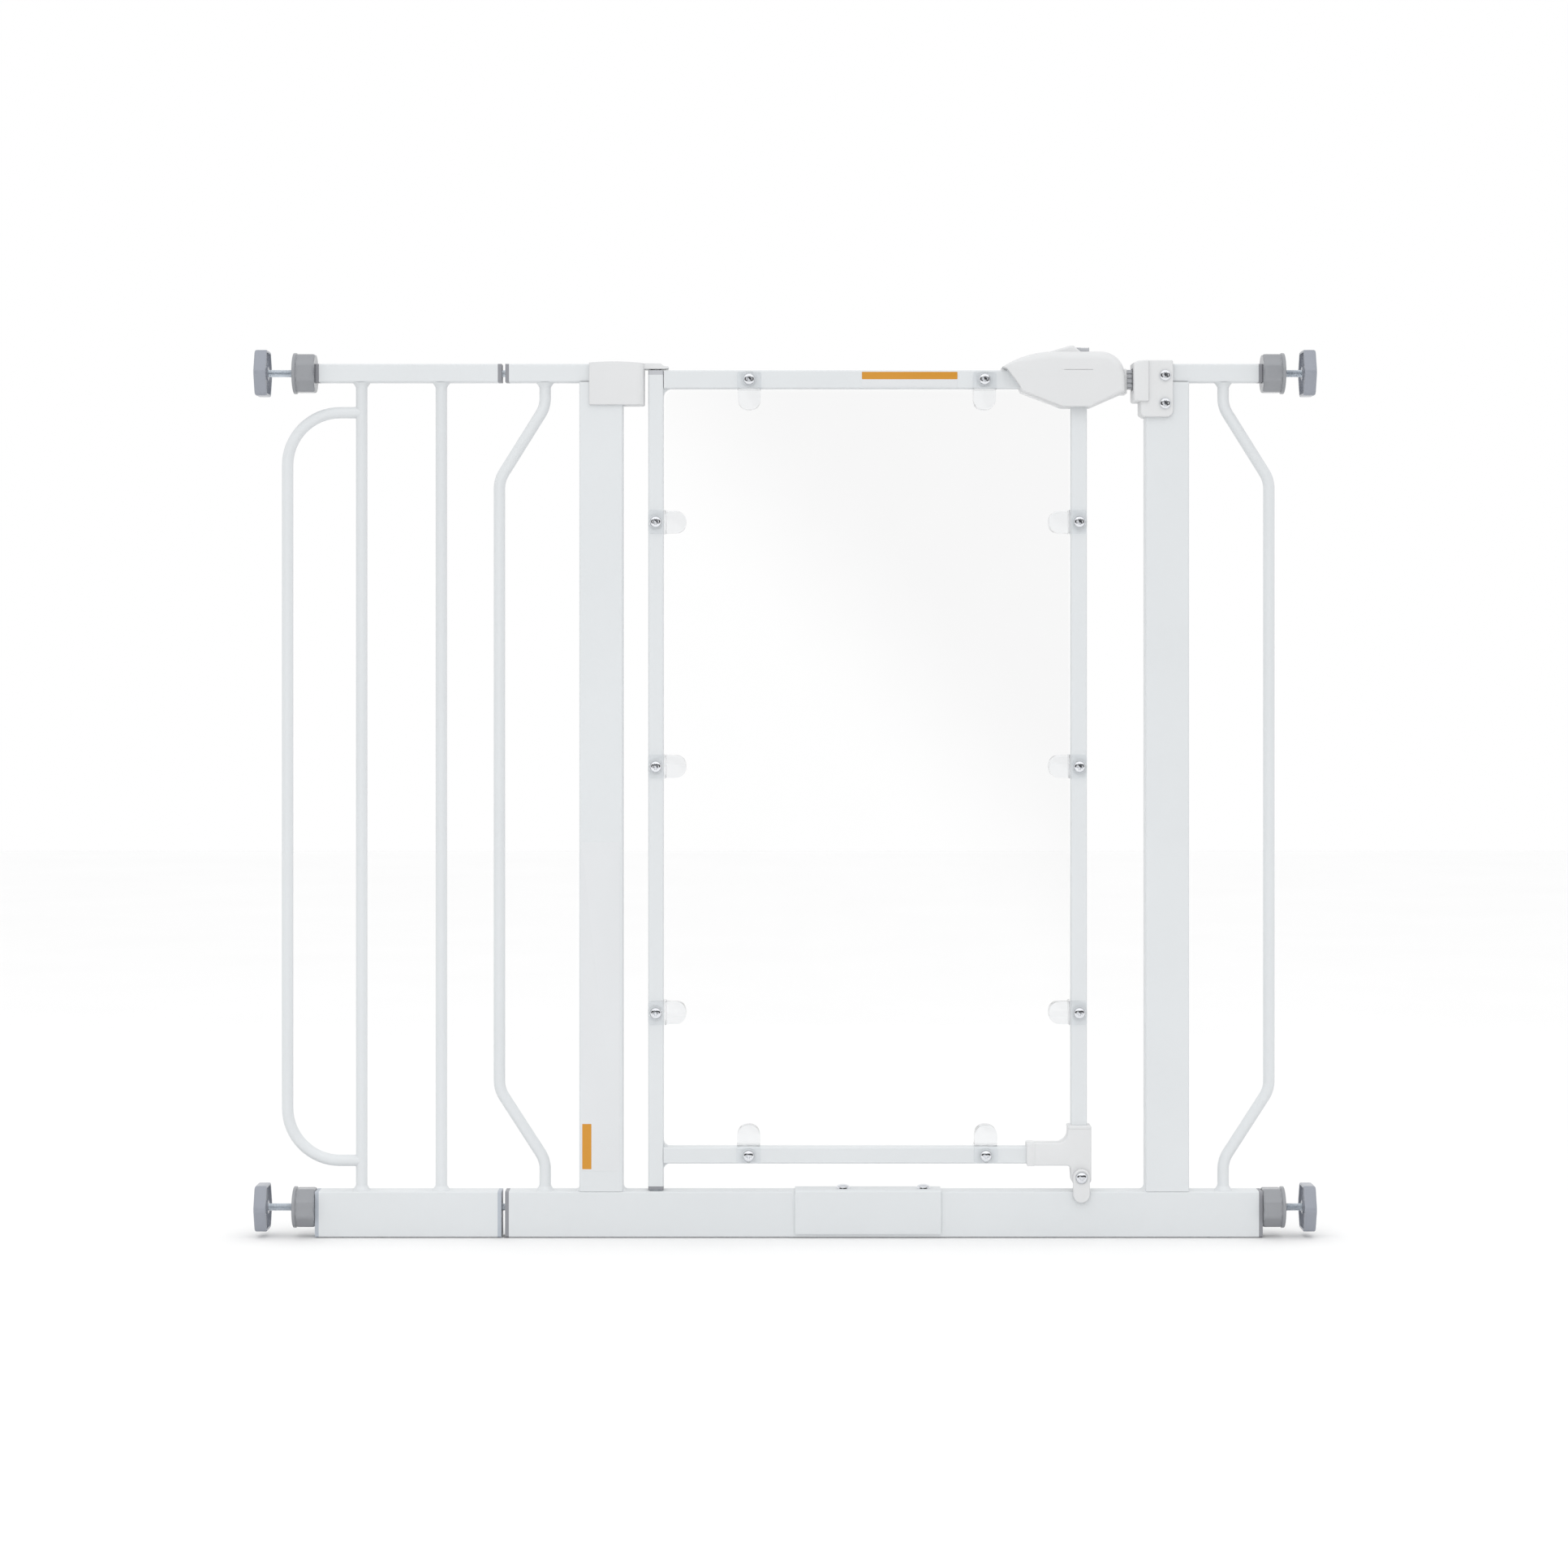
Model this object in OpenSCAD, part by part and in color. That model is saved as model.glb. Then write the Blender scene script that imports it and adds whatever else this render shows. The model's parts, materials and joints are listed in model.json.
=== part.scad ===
// Walk-through pet gate: a pressure-fitted steel frame with a side extension, a hinged door with a clear
// panel, a slide latch, a stop tab and four screw-out wall pads.
// Millimetres, +Z up, X along the gate, the front faces -Y. Origin: middle of the gate, on the floor.

/* [Frame] */
// Height of the upper face of the top rails
rail_top = 762; // [745:1:790]
// Side of the square top rail tube
top_rail_s = 16; // [15:0.5:17]
// Height of the floor rail
sill_h = 40; // [38:1:42]
// Depth of the floor rail and of the posts, front to back
sill_d = 20; // [19:0.5:21]
// Width of a post
post_w = 38; // [36:1:40]
// Wall of the square and rectangular tubes
tube_wall = 1.2; // [1:0.1:1.5]
// Left end of the frame's tubes
frame_left = -241; // [-246:1:-238]
// Right end of the frame's tubes
frame_right = 413; // [408:1:418]
// Middle of the post that carries the hinge
hinge_post_x = -160.6; // [-162:0.2:-160]
// Middle of the post that carries the catch
latch_post_x = 333.2; // [332:0.2:335]

/* [Bars] */
// Diameter of the round bars
bar_d = 10; // [9:0.5:11]
// Wall of the round bars
bar_wall = 1; // [0.8:0.1:1.5]
// How far a curved bar steps outwards
bar_offset = 40; // [30:1:45]

/* [Extension] */
// Length of the extension's rails
ext_len = 156; // [150:1:162]
// Gap between the extension's end cap and the frame's
ext_gap = 3.2; // [2:0.1:5]

/* [Door] */
// Hinge axis
hinge_x = -113; // [-113.5:0.1:-112]
// Middle of the stile at the latch side
latch_x = 256.5; // [255:0.5:257]
// Side of the square door tubes
door_tube = 13.3; // [12.5:0.1:13.5]
// Height of the door's top rail
door_rail_h = 16; // [15:0.5:16]
// Thickness of the clear panel
panel_t = 3; // [2:0.5:4]
// Width of a panel clip
clip_w = 21; // [18:0.5:22]

/* [Wall pads] */
// Diameter of a wall pad
pad_d = 40; // [36:1:40]
// Length of a pad along its rod
pad_l = 10.8; // [9:0.1:12]
// Diameter of the threaded rod
rod_d = 6; // [5:0.5:7]
// Length of rod that shows between pad and hand nut
rod_shown = 18; // [16:1:20]
// Length of a hand nut
nut_l = 19.5; // [18:0.5:21]

/* [Hidden] */
$fn = 48;
white_metal = [0.88, 0.89, 0.90];
white_plastic = [0.90, 0.90, 0.90];
grey_plastic = [0.60, 0.62, 0.63];
dark_grey = [0.45, 0.46, 0.48];
zinc = [0.75, 0.76, 0.78];
clear = [0.92, 0.95, 0.97, 0.4];

tube_r = 1.5;
rail_mid = rail_top - top_rail_s / 2;
rail_under = rail_top - top_rail_s;
spindle_low = 25;
spindle_heights = [rail_mid, spindle_low];
rod_l = 92;
rod_socket = 2;
cap_t = 3.3;
cap_reach = 15;
cap_slack = 0.1;
running = 0.05;
body_gap = 0.3;
weld = 3;

ext_right = frame_left - 2 * cap_t - ext_gap;
ext_left = ext_right - ext_len;
ext_outer_x = ext_left + 36.3;
ext_inner_x = ext_left + 106;
bow_x = ext_left - 28.5;
bow_bend = 46;
bow_top = rail_top - 42.2;
bow_low = 65.8;
peg_d = 6;
peg_reach = 40;

step_bend = 26;
bend_steps = 5;
weld_steps = 4;
bar_sides = 16;

hinge_post_right = hinge_post_x + post_w / 2;
latch_post_left = latch_post_x - post_w / 2;
seam_x = 85.7;
joiner_left = 8.5;
joiner_right = 135.8;
joiner_t = 1.6;
joiner_foot = 3;
joiner_bolt_gap = 35.1;
joiner_bolt_d = 6;

screw_d = 4;
dome_r = 5;
dome_h = 3;
cap_nut_reach = 2;
rivet_rise = 0.8;
label_t = 0.15;

bracket_low = rail_top - 36;
bracket_left = hinge_post_x - 10.4;
bracket_right = hinge_x - 10;
bracket_half = 12.5;
bracket_screw_x = hinge_post_x + 8;
bracket_screw_z = [bracket_low + 9, rail_mid];
crown_r = 240;
crown_top = rail_top + 1.6;
arm_end = hinge_x + 11;
arm_half = 7.5;
arm_low = rail_top - 4.4;
pin_d = 5;

door_half = door_tube / 2;
door_top = rail_top - 5.5;
door_top_under = door_top - door_rail_h;
door_foot = sill_h + 4;
low_rail_z = sill_h + 31;
low_rail_h = 14.5;
stile_top = door_top - 4;
latch_stile_w = 13.8;
opening_left = hinge_x + door_half;
opening_right = latch_x - latch_stile_w / 2;
opening_low = low_rail_z + low_rail_h / 2;
panel_gap = 1.5;

corner_half = 9.2;
corner_top = sill_h + 57.3;
corner_left = latch_x - 9.9;
corner_right = latch_x + 10.5;
corner_arm_left = latch_x - 46;
corner_arm_under = low_rail_z - 8.7;
corner_arm_top = low_rail_z + 11;
corner_fillet = 9;
corner_round = 2.5;

clip_t = 3;
clip_reach = 26.5;
clip_step = 2;
clip_top_x = [-31.5, 174];
clip_low_x = [-32, 175];
clip_side_z = [195.5, 410.5, 624];

shell_half = 17;
shell_step = 2.5;
shell_t = 3;
face_share = 0.94;
cavity_share = 0.9;
rib_share = 0.97;
handle_rise = 16.1;
handle_under = 32.3;
handle_back_r = 83;
handle_nose_r = 22;
handle_nose_x = latch_x + 41.5;
handle_screw_at = [[-34.5, 7.5], [31.5, 9], [18.5, -23.8]];
casing_screw_d = 3;
casing_screw_reach = 9;
hood_half = 8.5;
hood_top = door_top + 21.5;
hood_roof = door_top + 20.2;
hood_floor = door_top + 16.3;
carriage_t = 3.9;
carriage_half = 5;
button_half = 5.5;
stem_half = 3;
stem_left = 0.3;
stem_l = 8;

latch_mid = door_top - 7.8;
bolt_h = 16.6;
bolt_half = 6;
bolt_tip = latch_post_left - 11.3;
bolt_root = latch_x + 15.5;
latch_back = 5;
latch_throw = 6.5;

catch_face = bolt_tip + body_gap;
catch_half = 13.5;
catch_block_half = catch_half + 2.5;
catch_block_low = rail_top - 33.3;
catch_block_right = catch_face + 13.2;
pocket_slack = 1.5;
catch_screw_x = latch_post_x - 2.4;
catch_screw_z = [rail_top - 35, rail_top - 10.5];

tab_x = latch_x + 1.5;
tab_z = sill_h + 12.6;
tab_w = 14.6;
tab_t = 3.5;
tab_back = sill_d / 2 + 0.5;
tab_pin_d = 5;

// ---------- shared shapes ----------

// Points along an arc, from angle a1 to angle a2
function arc(centre, r, a1, a2, steps) =
    [for (i = [0 : steps]) centre + r * [cos(a1 + (a2 - a1) * i / steps), sin(a1 + (a2 - a1) * i / steps)]];

// Rectangle with round corners, centred
module round_rect(w, h, r) {
    square([w - 2 * r, h], center = true);
    square([w, h - 2 * r], center = true);
    for (sx = [-1, 1], sy = [-1, 1])
        translate([sx * (w / 2 - r), sy * (h / 2 - r)])
            circle(r);
}

// Outline of a tube with round corners and an even wall
module tube_section(w, h) {
    difference() {
        round_rect(w, h, tube_r);
        round_rect(w - 2 * tube_wall, h - 2 * tube_wall, 0.5);
    }
}

// Extrudes an outline drawn in X and Z, from front to back
module slab(front, back) {
    translate([0, back, 0])
        rotate([90, 0, 0])
            linear_extrude(back - front)
                children();
}

// Extrudes an outline drawn in Y and Z, along X
module along_x(x1, x2) {
    translate([x1, 0, 0])
        rotate([90, 0, 90])
            linear_extrude(x2 - x1)
                children();
}

module tube_x(x1, x2, z_mid, depth, height) {
    along_x(x1, x2)
        translate([0, z_mid])
            tube_section(depth, height);
}

module tube_z(x, z1, z2, width, depth) {
    translate([x, 0, z1])
        linear_extrude(z2 - z1)
            tube_section(width, depth);
}

// Round bar along X, whichever end is given first
module rod_x(x1, x2, z, d) {
    translate([min(x1, x2), 0, z])
        rotate([0, 90, 0])
            cylinder(h = abs(x2 - x1), d = d);
}

module rod_y(x, z, y1, y2, d) {
    translate([x, y2, z])
        rotate([90, 0, 0])
            cylinder(h = y2 - y1, d = d);
}

module rod_z(x, z1, z2, d) {
    translate([x, 0, z1])
        cylinder(h = z2 - z1, d = d);
}

// Low dome, flat side down
module dome(r, h) {
    ball = (r * r + h * h) / (2 * h);
    intersection() {
        translate([0, 0, h - ball])
            sphere(ball);
        cylinder(h = h + 1, r = r + 1);
    }
}

// Dome-head screw along Y and its cap nut on the rear face
module through_screw(x, z, front, back) {
    translate([x, front, z])
        rotate([90, 0, 0])
            dome(dome_r, dome_h);
    rod_y(x, z, front, back + cap_nut_reach, screw_d);
    difference() {
        translate([x, back + running, z])
            rotate([-90, 0, 0])
                dome(dome_r, dome_h);
        rod_y(x, z, back - 1, back + cap_nut_reach + running, screw_d + 2 * running);
    }
}

// Concave weld ring where a round bar meets a flat face
module weld_ring() {
    rotate_extrude()
        difference() {
            translate([bar_d / 2 - 0.2, 0])
                square([weld + 0.2, weld]);
            translate([bar_d / 2 + weld, weld])
                circle(weld);
        }
}

// Concave weld in a corner between two faces, seen from the front; points along the signs given
module corner_weld(x, z, sx, sz, size, half) {
    translate([x, 0, z])
        slab(-half, half)
            difference() {
                translate([sx > 0 ? 0 : -size, sz > 0 ? 0 : -size])
                    square(size);
                translate([sx * size, sz * size])
                    circle(size);
            }
}

// Upright round tube with a weld ring at each end
module upright_bar(x) {
    translate([x, 0, 0])
        difference() {
            union() {
                rod_z(0, sill_h, rail_under, bar_d);
                translate([0, 0, sill_h])
                    weld_ring();
                translate([0, 0, rail_under])
                    mirror([0, 0, 1])
                        weld_ring();
            }
            rod_z(0, sill_h - 1, rail_under + 1, bar_d - 2 * bar_wall);
        }
}

// ---------- bars bent in the XZ plane ----------

function unit(v) = v / norm(v);
function turn_of(a, b, c) = acos(min(1, unit(b - a) * unit(c - b)));
function side_of(a, b, c) = sign((b - a)[0] * (c - b)[1] - (b - a)[1] * (c - b)[0]);
function setback(p, r, i) = i == 0 || i == len(p) - 1 ? 0 : r * tan(turn_of(p[i - 1], p[i], p[i + 1]) / 2);

// Solid bar of diameter d along points p, with every bend at radius r
module bent_rod(p, r, d) {
    for (i = [0 : len(p) - 2]) {
        way = unit(p[i + 1] - p[i]);
        start = p[i] + way * setback(p, r, i);
        run = norm(p[i + 1] - p[i]) - setback(p, r, i) - setback(p, r, i + 1);
        translate([start[0], start[1], 0])
            rotate([0, 0, atan2(way[1], way[0])])
                rotate([0, 90, 0])
                    cylinder(h = run, d = d);
    }
    for (i = [1 : len(p) - 2]) {
        turn = turn_of(p[i - 1], p[i], p[i + 1]);
        side = side_of(p[i - 1], p[i], p[i + 1]);
        way = unit(p[i] - p[i - 1]);
        start = p[i] - way * setback(p, r, i);
        centre = start + side * r * [-way[1], way[0]];
        from = atan2(start[1] - centre[1], start[0] - centre[0]);
        translate([centre[0], centre[1], 0])
            rotate([0, 0, side > 0 ? from : from - turn])
                rotate_extrude(angle = turn)
                    translate([r, 0])
                        circle(d = d);
    }
}

// Hollow bar along the same points
module bent_bar(p, r) {
    rotate([90, 0, 0])
        difference() {
            bent_rod(p, r, bar_d);
            bent_rod(p, r, bar_d - 2 * bar_wall);
        }
}

// One station of a swept bar: [middle, direction, how much thicker than the bar]
function bend_stations(p, r, i) =
    let(
        turn = turn_of(p[i - 1], p[i], p[i + 1]),
        side = side_of(p[i - 1], p[i], p[i + 1]),
        way = unit(p[i] - p[i - 1]),
        start = p[i] - way * setback(p, r, i),
        centre = start + side * r * [-way[1], way[0]]
    )
    [for (k = [0 : bend_steps])
        let(a = side * turn * k / bend_steps)
        [centre + turned(start - centre, a), turned(way, a), 0]];

function turned(v, a) = [v[0] * cos(a) - v[1] * sin(a), v[0] * sin(a) + v[1] * cos(a)];

// The concave weld at an end: the bar grows by the weld's size at the face it stands on
function weld_stations(end, way) =
    [for (k = [0 : weld_steps])
        let(a = 90 * k / weld_steps)
        [end + way * weld * (1 - cos(a)), way, weld * (1 - sin(a))]];

function stations(p, r) =
    let(last = len(p) - 1, foot = weld_stations(p[last], unit(p[last - 1] - p[last])))
    concat(
        weld_stations(p[0], unit(p[1] - p[0])),
        [for (i = [1 : last - 1]) each bend_stations(p, r, i)],
        [for (k = [weld_steps : -1 : 0]) [foot[k][0], -foot[k][1], foot[k][2]]]);

// Ring of points round a station of a path in X and Z
function ring(station, radius, sides) =
    [for (j = [0 : sides - 1])
        let(a = 360 * j / sides, across = [-station[1][1], station[1][0]] * radius * cos(a))
        [station[0][0] + across[0], radius * sin(a), station[0][1] + across[1]]];

// Skins rings of equal count, each to the next and the last to the first
module ring_loop(rings) {
    sides = len(rings[0]);
    n = len(rings);
    polyhedron(
        points = [for (ring = rings) each ring],
        faces = [for (i = [0 : n - 1], j = [0 : sides - 1])
            let(k = (j + 1) % sides, this = i * sides, next = (i + 1) % n * sides)
            each [[this + j, this + k, next + k], [this + j, next + k, next + j]]],
        convexity = 10);
}

// Hollow bar that steps outwards from x, towards side s, and back again
module curved_bar(x, s) {
    out = x + s * bar_offset;
    upper_bend = rail_under - 21;
    upper_run = 64;
    lower_bend = sill_h + 26;
    lower_run = 62;
    p = [[x, rail_under], [x, upper_bend], [out, upper_bend - upper_run],
        [out, lower_bend + lower_run], [x, lower_bend], [x, sill_h]];
    line = stations(p, step_bend);
    outside = [for (q = line) ring(q, bar_d / 2 + q[2], bar_sides)];
    inside = [for (q = line) ring(q, bar_d / 2 - bar_wall, bar_sides)];
    ring_loop(concat(outside, [for (i = [len(line) - 1 : -1 : 0]) inside[i]]));
}

// ---------- frame ----------

module post(x) {
    tube_z(x, sill_h, rail_under, post_w, sill_d);
    for (s = [-1, 1])
        corner_weld(x + s * post_w / 2, sill_h, s, 1, weld + 1, sill_d / 2 - tube_r);
}

module hinge_post() {
    color(white_metal)
        difference() {
            post(hinge_post_x);
            rod_y(bracket_screw_x, bracket_screw_z[0], 0, sill_d, screw_d);
        }
}

module latch_post() {
    color(white_metal)
        difference() {
            post(latch_post_x);
            rod_y(catch_screw_x, catch_screw_z[0], -sill_d, sill_d, screw_d);
        }
}

module threshold_left() {
    color(white_metal)
        difference() {
            tube_x(frame_left, seam_x, sill_h / 2, sill_d, sill_h);
            rod_z(hinge_x, sill_h - 5, sill_h + 1, pin_d);
            rod_z(seam_x - joiner_bolt_gap, sill_h - 5, sill_h + 1, joiner_bolt_d);
        }
}

module threshold_right() {
    color(white_metal)
        difference() {
            tube_x(seam_x, frame_right, sill_h / 2, sill_d, sill_h);
            rod_z(seam_x + joiner_bolt_gap, sill_h - 5, sill_h + 1, joiner_bolt_d);
        }
}

// Folded steel channel that covers the seam of the floor rail
module threshold_joiner() {
    outer = sill_d + 2 * joiner_t;
    color(white_metal)
        difference() {
            along_x(joiner_left, joiner_right)
                difference() {
                    translate([0, sill_h + joiner_t - outer / 2])
                        round_rect(outer, outer, tube_r + 1);
                    translate([0, sill_h / 2])
                        round_rect(sill_d, sill_h, tube_r);
                }
            along_x(joiner_left - 1, joiner_right + 1)
                translate([-outer, 0])
                    square([2 * outer, sill_h - outer / 2]);
            for (s = [-1, 1])
                rod_z(seam_x + s * joiner_bolt_gap, sill_h - 5, sill_h + 5, joiner_bolt_d);
        }
    color(white_metal)
        for (s = [-1, 1])
            translate([joiner_left, s > 0 ? sill_d / 2 : -outer / 2, joiner_foot])
                cube([joiner_right - joiner_left, joiner_t, sill_h - outer / 2 - joiner_foot]);
}

module joiner_bolts() {
    top = sill_h + joiner_t;
    foot = sill_h - 12;
    head_h = 3.5;
    nut_h = 5;
    nut_d = 11.5;
    color(zinc)
        for (s = [-1, 1])
            translate([seam_x + s * joiner_bolt_gap, 0, 0]) {
                translate([0, 0, top])
                    dome(joiner_bolt_d, head_h);
                rod_z(0, foot, top, joiner_bolt_d);
                difference() {
                    translate([0, 0, sill_h - tube_wall - nut_h])
                        cylinder(h = nut_h, d = nut_d, $fn = 6);
                    rod_z(0, foot, sill_h, joiner_bolt_d + 2 * running);
                }
            }
}

module top_rail_left() {
    color(white_metal)
        difference() {
            tube_x(frame_left, hinge_post_right, rail_mid, top_rail_s, top_rail_s);
            rod_y(bracket_screw_x, bracket_screw_z[1], 0, sill_d, screw_d);
        }
}

module top_rail_right() {
    color(white_metal)
        difference() {
            tube_x(latch_post_left, frame_right, rail_mid, top_rail_s, top_rail_s);
            rod_y(catch_screw_x, catch_screw_z[1], -sill_d, sill_d, screw_d);
        }
}

module curved_bar_left() {
    color(white_metal)
        curved_bar(frame_left + 31, -1);
}

module curved_bar_right() {
    color(white_metal)
        curved_bar(frame_right - 30, 1);
}

// Moulded sleeve over the post and rail, with an arm that carries the upper hinge pin
module hinge_bracket() {
    crown = arc([hinge_post_x + 12, crown_top - crown_r], crown_r, 96, 80, 10);
    nose = [[arm_end, rail_top - 2], [arm_end, arm_low], [bracket_right, arm_low]];
    color(white_plastic)
        difference() {
            intersection() {
                slab(-20, 20)
                    intersection() {
                        polygon(concat([[bracket_left - 30, bracket_low]], crown, nose,
                            [[bracket_right, bracket_low]]));
                        translate([bracket_left, bracket_low])
                            square([200, 60]);
                    }
                translate([0, 0, bracket_low - 1])
                    linear_extrude(60)
                        bracket_plan();
            }
            along_x(bracket_left - 1, hinge_post_right)
                translate([0, rail_mid])
                    round_rect(top_rail_s, top_rail_s, tube_r);
            translate([bracket_left - 1, -sill_d / 2, bracket_low - 1])
                cube([hinge_post_right - bracket_left + 1, sill_d, rail_under - bracket_low + 1]);
            rod_z(hinge_x, arm_low - 1, rail_top + 5, pin_d);
            for (z = bracket_screw_z)
                rod_y(bracket_screw_x, z, 0, sill_d, screw_d);
        }
}

// The bracket and its arm, seen from above
module bracket_plan() {
    corner = 6;
    translate([bracket_left, -bracket_half])
        square([bracket_right - corner - bracket_left, 2 * bracket_half]);
    translate([bracket_left, corner - bracket_half])
        square([bracket_right - bracket_left, 2 * (bracket_half - corner)]);
    for (s = [-1, 1])
        translate([bracket_right - corner, s * (bracket_half - corner)])
            circle(corner);
    translate([bracket_right - 10, -arm_half])
        square([arm_end - arm_half - bracket_right + 10, 2 * arm_half]);
    translate([arm_end - arm_half, 0])
        circle(arm_half);
}

module hinge_bracket_screws() {
    color(zinc)
        for (z = bracket_screw_z)
            translate([bracket_screw_x, 0, z]) {
                translate([0, bracket_half, 0])
                    rotate([-90, 0, 0])
                        dome(dome_r, dome_h);
                rod_y(0, 0, sill_d / 2 - 6, bracket_half, screw_d);
            }
}

module upper_hinge_pin() {
    color(dark_grey)
        rod_z(hinge_x, stile_top - 14, rail_top + 0.6, pin_d);
}

// Pin with a nut under the rail's wall and a washer on top of it
module lower_hinge_pin() {
    nut_h = 3;
    washer_t = 0.8;
    color(dark_grey)
        union() {
            rod_z(hinge_x, sill_h - 6, sill_h + 22, pin_d);
            rod_z(hinge_x, sill_h - tube_wall - nut_h, sill_h - tube_wall, 2 * pin_d);
            rod_z(hinge_x, sill_h, sill_h + washer_t, 2 * pin_d + 1);
        }
}

// Everything the frame puts inside the catch: post, rail and the bolt's pocket
module catch_pockets() {
    reach = 60;
    translate([latch_post_left, -sill_d / 2, rail_top - reach])
        cube([reach, sill_d, reach - top_rail_s]);
    along_x(latch_post_left, latch_post_left + reach)
        translate([0, rail_mid])
            round_rect(top_rail_s, top_rail_s, tube_r);
    translate([catch_face - 1, -bolt_half - pocket_slack, latch_mid - bolt_h / 2 - pocket_slack])
        cube([latch_throw + 4, 2 * (bolt_half + pocket_slack), bolt_h + 2 * pocket_slack]);
    for (z = catch_screw_z)
        rod_y(catch_screw_x, z, -20, 20, screw_d);
}

// Half of the catch; side is -1 at the front and 1 at the rear
module catch_half_shell(side) {
    plate_right = latch_post_x + 4.6;
    plate_left = catch_face + 6.5;
    plate_low = rail_top - 46.7;
    plate_top = rail_top + 2.8;
    plate_round = 5;
    lead_in = 3;
    mirror([0, side > 0 ? 1 : 0, 0])
        difference() {
            union() {
                translate([(plate_left + plate_right) / 2, 0, (plate_low + plate_top) / 2])
                    slab(-catch_half, 0)
                        union() {
                            round_rect(plate_right - plate_left, plate_top - plate_low, plate_round);
                            translate([-(plate_right - plate_left) / 2, 0])
                                square([plate_right - plate_left, (plate_top - plate_low) / 2]);
                        }
                intersection() {
                    slab(-catch_block_half, 0)
                        polygon([[catch_face, catch_block_low + lead_in], [catch_face + 2, catch_block_low],
                            [catch_block_right, catch_block_low], [catch_block_right, plate_top],
                            [catch_face + lead_in, rail_top + 0.8], [catch_face, rail_top - 2]]);
                    translate([0, 0, plate_low])
                        linear_extrude(plate_top - plate_low)
                            polygon([[catch_face, 0], [catch_face, lead_in - catch_block_half],
                                [catch_face + lead_in, -catch_block_half],
                                [catch_block_right - lead_in, -catch_block_half],
                                [catch_block_right, lead_in - catch_block_half], [catch_block_right, 0]]);
                }
            }
            catch_pockets();
        }
}

module catch_front() {
    color(white_plastic)
        catch_half_shell(-1);
}

module catch_rear() {
    color(white_plastic)
        catch_half_shell(1);
}

module catch_screws() {
    color(zinc)
        for (z = catch_screw_z)
            through_screw(catch_screw_x, z, -catch_half, catch_half);
}

// Moulded end cap: a flange on the tube's end and a plug inside it. out is -1 or 1, bore the hole through it
module end_cap(x, z_mid, w, h, out, hole_z, bore) {
    difference() {
        union() {
            along_x(min(x, x + out * cap_t), max(x, x + out * cap_t))
                translate([0, z_mid])
                    round_rect(w, h, tube_r);
            along_x(min(x, x - out * cap_reach), max(x, x - out * cap_reach))
                translate([0, z_mid])
                    round_rect(w - 2 * tube_wall - cap_slack, h - 2 * tube_wall - cap_slack, 0.5);
        }
        rod_x(x - out * (cap_reach + 1), x + out * (cap_t + 1), hole_z, bore);
    }
}

module top_cap(x, out, bore) {
    end_cap(x, rail_mid, top_rail_s, top_rail_s, out, rail_mid, bore);
}

module bottom_cap(x, out, bore) {
    end_cap(x, sill_h / 2, sill_d, sill_h, out, spindle_low, bore);
}

module frame_top_caps() {
    color(grey_plastic) {
        top_cap(frame_left, -1, peg_d + 2 * running);
        top_cap(frame_right, 1, rod_d + 2 * running);
    }
}

module frame_bottom_caps() {
    color(grey_plastic) {
        bottom_cap(frame_left, -1, peg_d + 2 * running);
        bottom_cap(frame_right, 1, rod_d + 2 * running);
    }
}

module post_sticker() {
    color("white")
        translate([hinge_post_x - 17.4, -sill_d / 2 - label_t, sill_h + 18])
            cube([post_w - 4, label_t, 287]);
}

// ---------- extension ----------

module ext_top_rail() {
    color(white_metal)
        tube_x(ext_left, ext_right, rail_mid, top_rail_s, top_rail_s);
}

module ext_bottom_rail() {
    color(white_metal)
        tube_x(ext_left, ext_right, sill_h / 2, sill_d, sill_h);
}

module ext_outer_bar() {
    color(white_metal)
        upright_bar(ext_outer_x);
}

module ext_inner_bar() {
    color(white_metal)
        upright_bar(ext_inner_x);
}

module ext_bow() {
    color(white_metal)
        difference() {
            bent_bar([[ext_outer_x, bow_top], [bow_x, bow_top], [bow_x, bow_low], [ext_outer_x, bow_low]],
                bow_bend);
            rod_z(ext_outer_x, bow_low - 20, bow_top + 20, bar_d);
        }
}

module ext_top_caps() {
    color(grey_plastic) {
        top_cap(ext_left, -1, rod_d + 2 * running);
        top_cap(ext_right, 1, peg_d);
    }
}

module ext_bottom_caps() {
    color(grey_plastic) {
        bottom_cap(ext_left, -1, rod_d + 2 * running);
        bottom_cap(ext_right, 1, peg_d);
    }
}

module ext_pegs() {
    color(zinc)
        for (z = spindle_heights)
            rod_x(ext_right - peg_reach, frame_left + peg_reach, z, peg_d);
}

// ---------- wall pads, rods and hand nuts ----------

// Draws its children at the end of a rail: s is -1 at the left and 1 at the right. +X then points at the wall
module at_wall(s, z) {
    face = s < 0 ? -(ext_left - cap_t) : frame_right + cap_t;
    translate([s * face, 0, z])
        mirror([s < 0 ? 1 : 0, 0, 0])
            children();
}

// Distance from the rail's end cap to the outer face of the pad; the right side stands a little further out
function pad_face(s) = rod_shown + (s < 0 ? 34.4 : 28);

module wall_pad(s, z) {
    rim = 2.6;
    web = 3.2;
    boss_h = pad_l - 2.5;
    boss_d = 2 * rod_d;
    color(grey_plastic)
        at_wall(s, z)
            translate([pad_face(s), 0, 0])
                rotate([0, -90, 0])
                    difference() {
                        union() {
                            cylinder(h = web, d = pad_d);
                            difference() {
                                cylinder(h = pad_l, d = pad_d);
                                translate([0, 0, -1])
                                    cylinder(h = pad_l + 2, d = pad_d - 2 * rim);
                            }
                            cylinder(h = boss_h, d = boss_d);
                        }
                        translate([0, 0, rod_socket])
                            cylinder(h = pad_l, d = rod_d);
                    }
}

module spindle_rod(s, z) {
    reach = pad_face(s) - rod_socket;
    color(zinc)
        at_wall(s, z)
            rod_x(reach - rod_l, reach, 0, rod_d);
}

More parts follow.
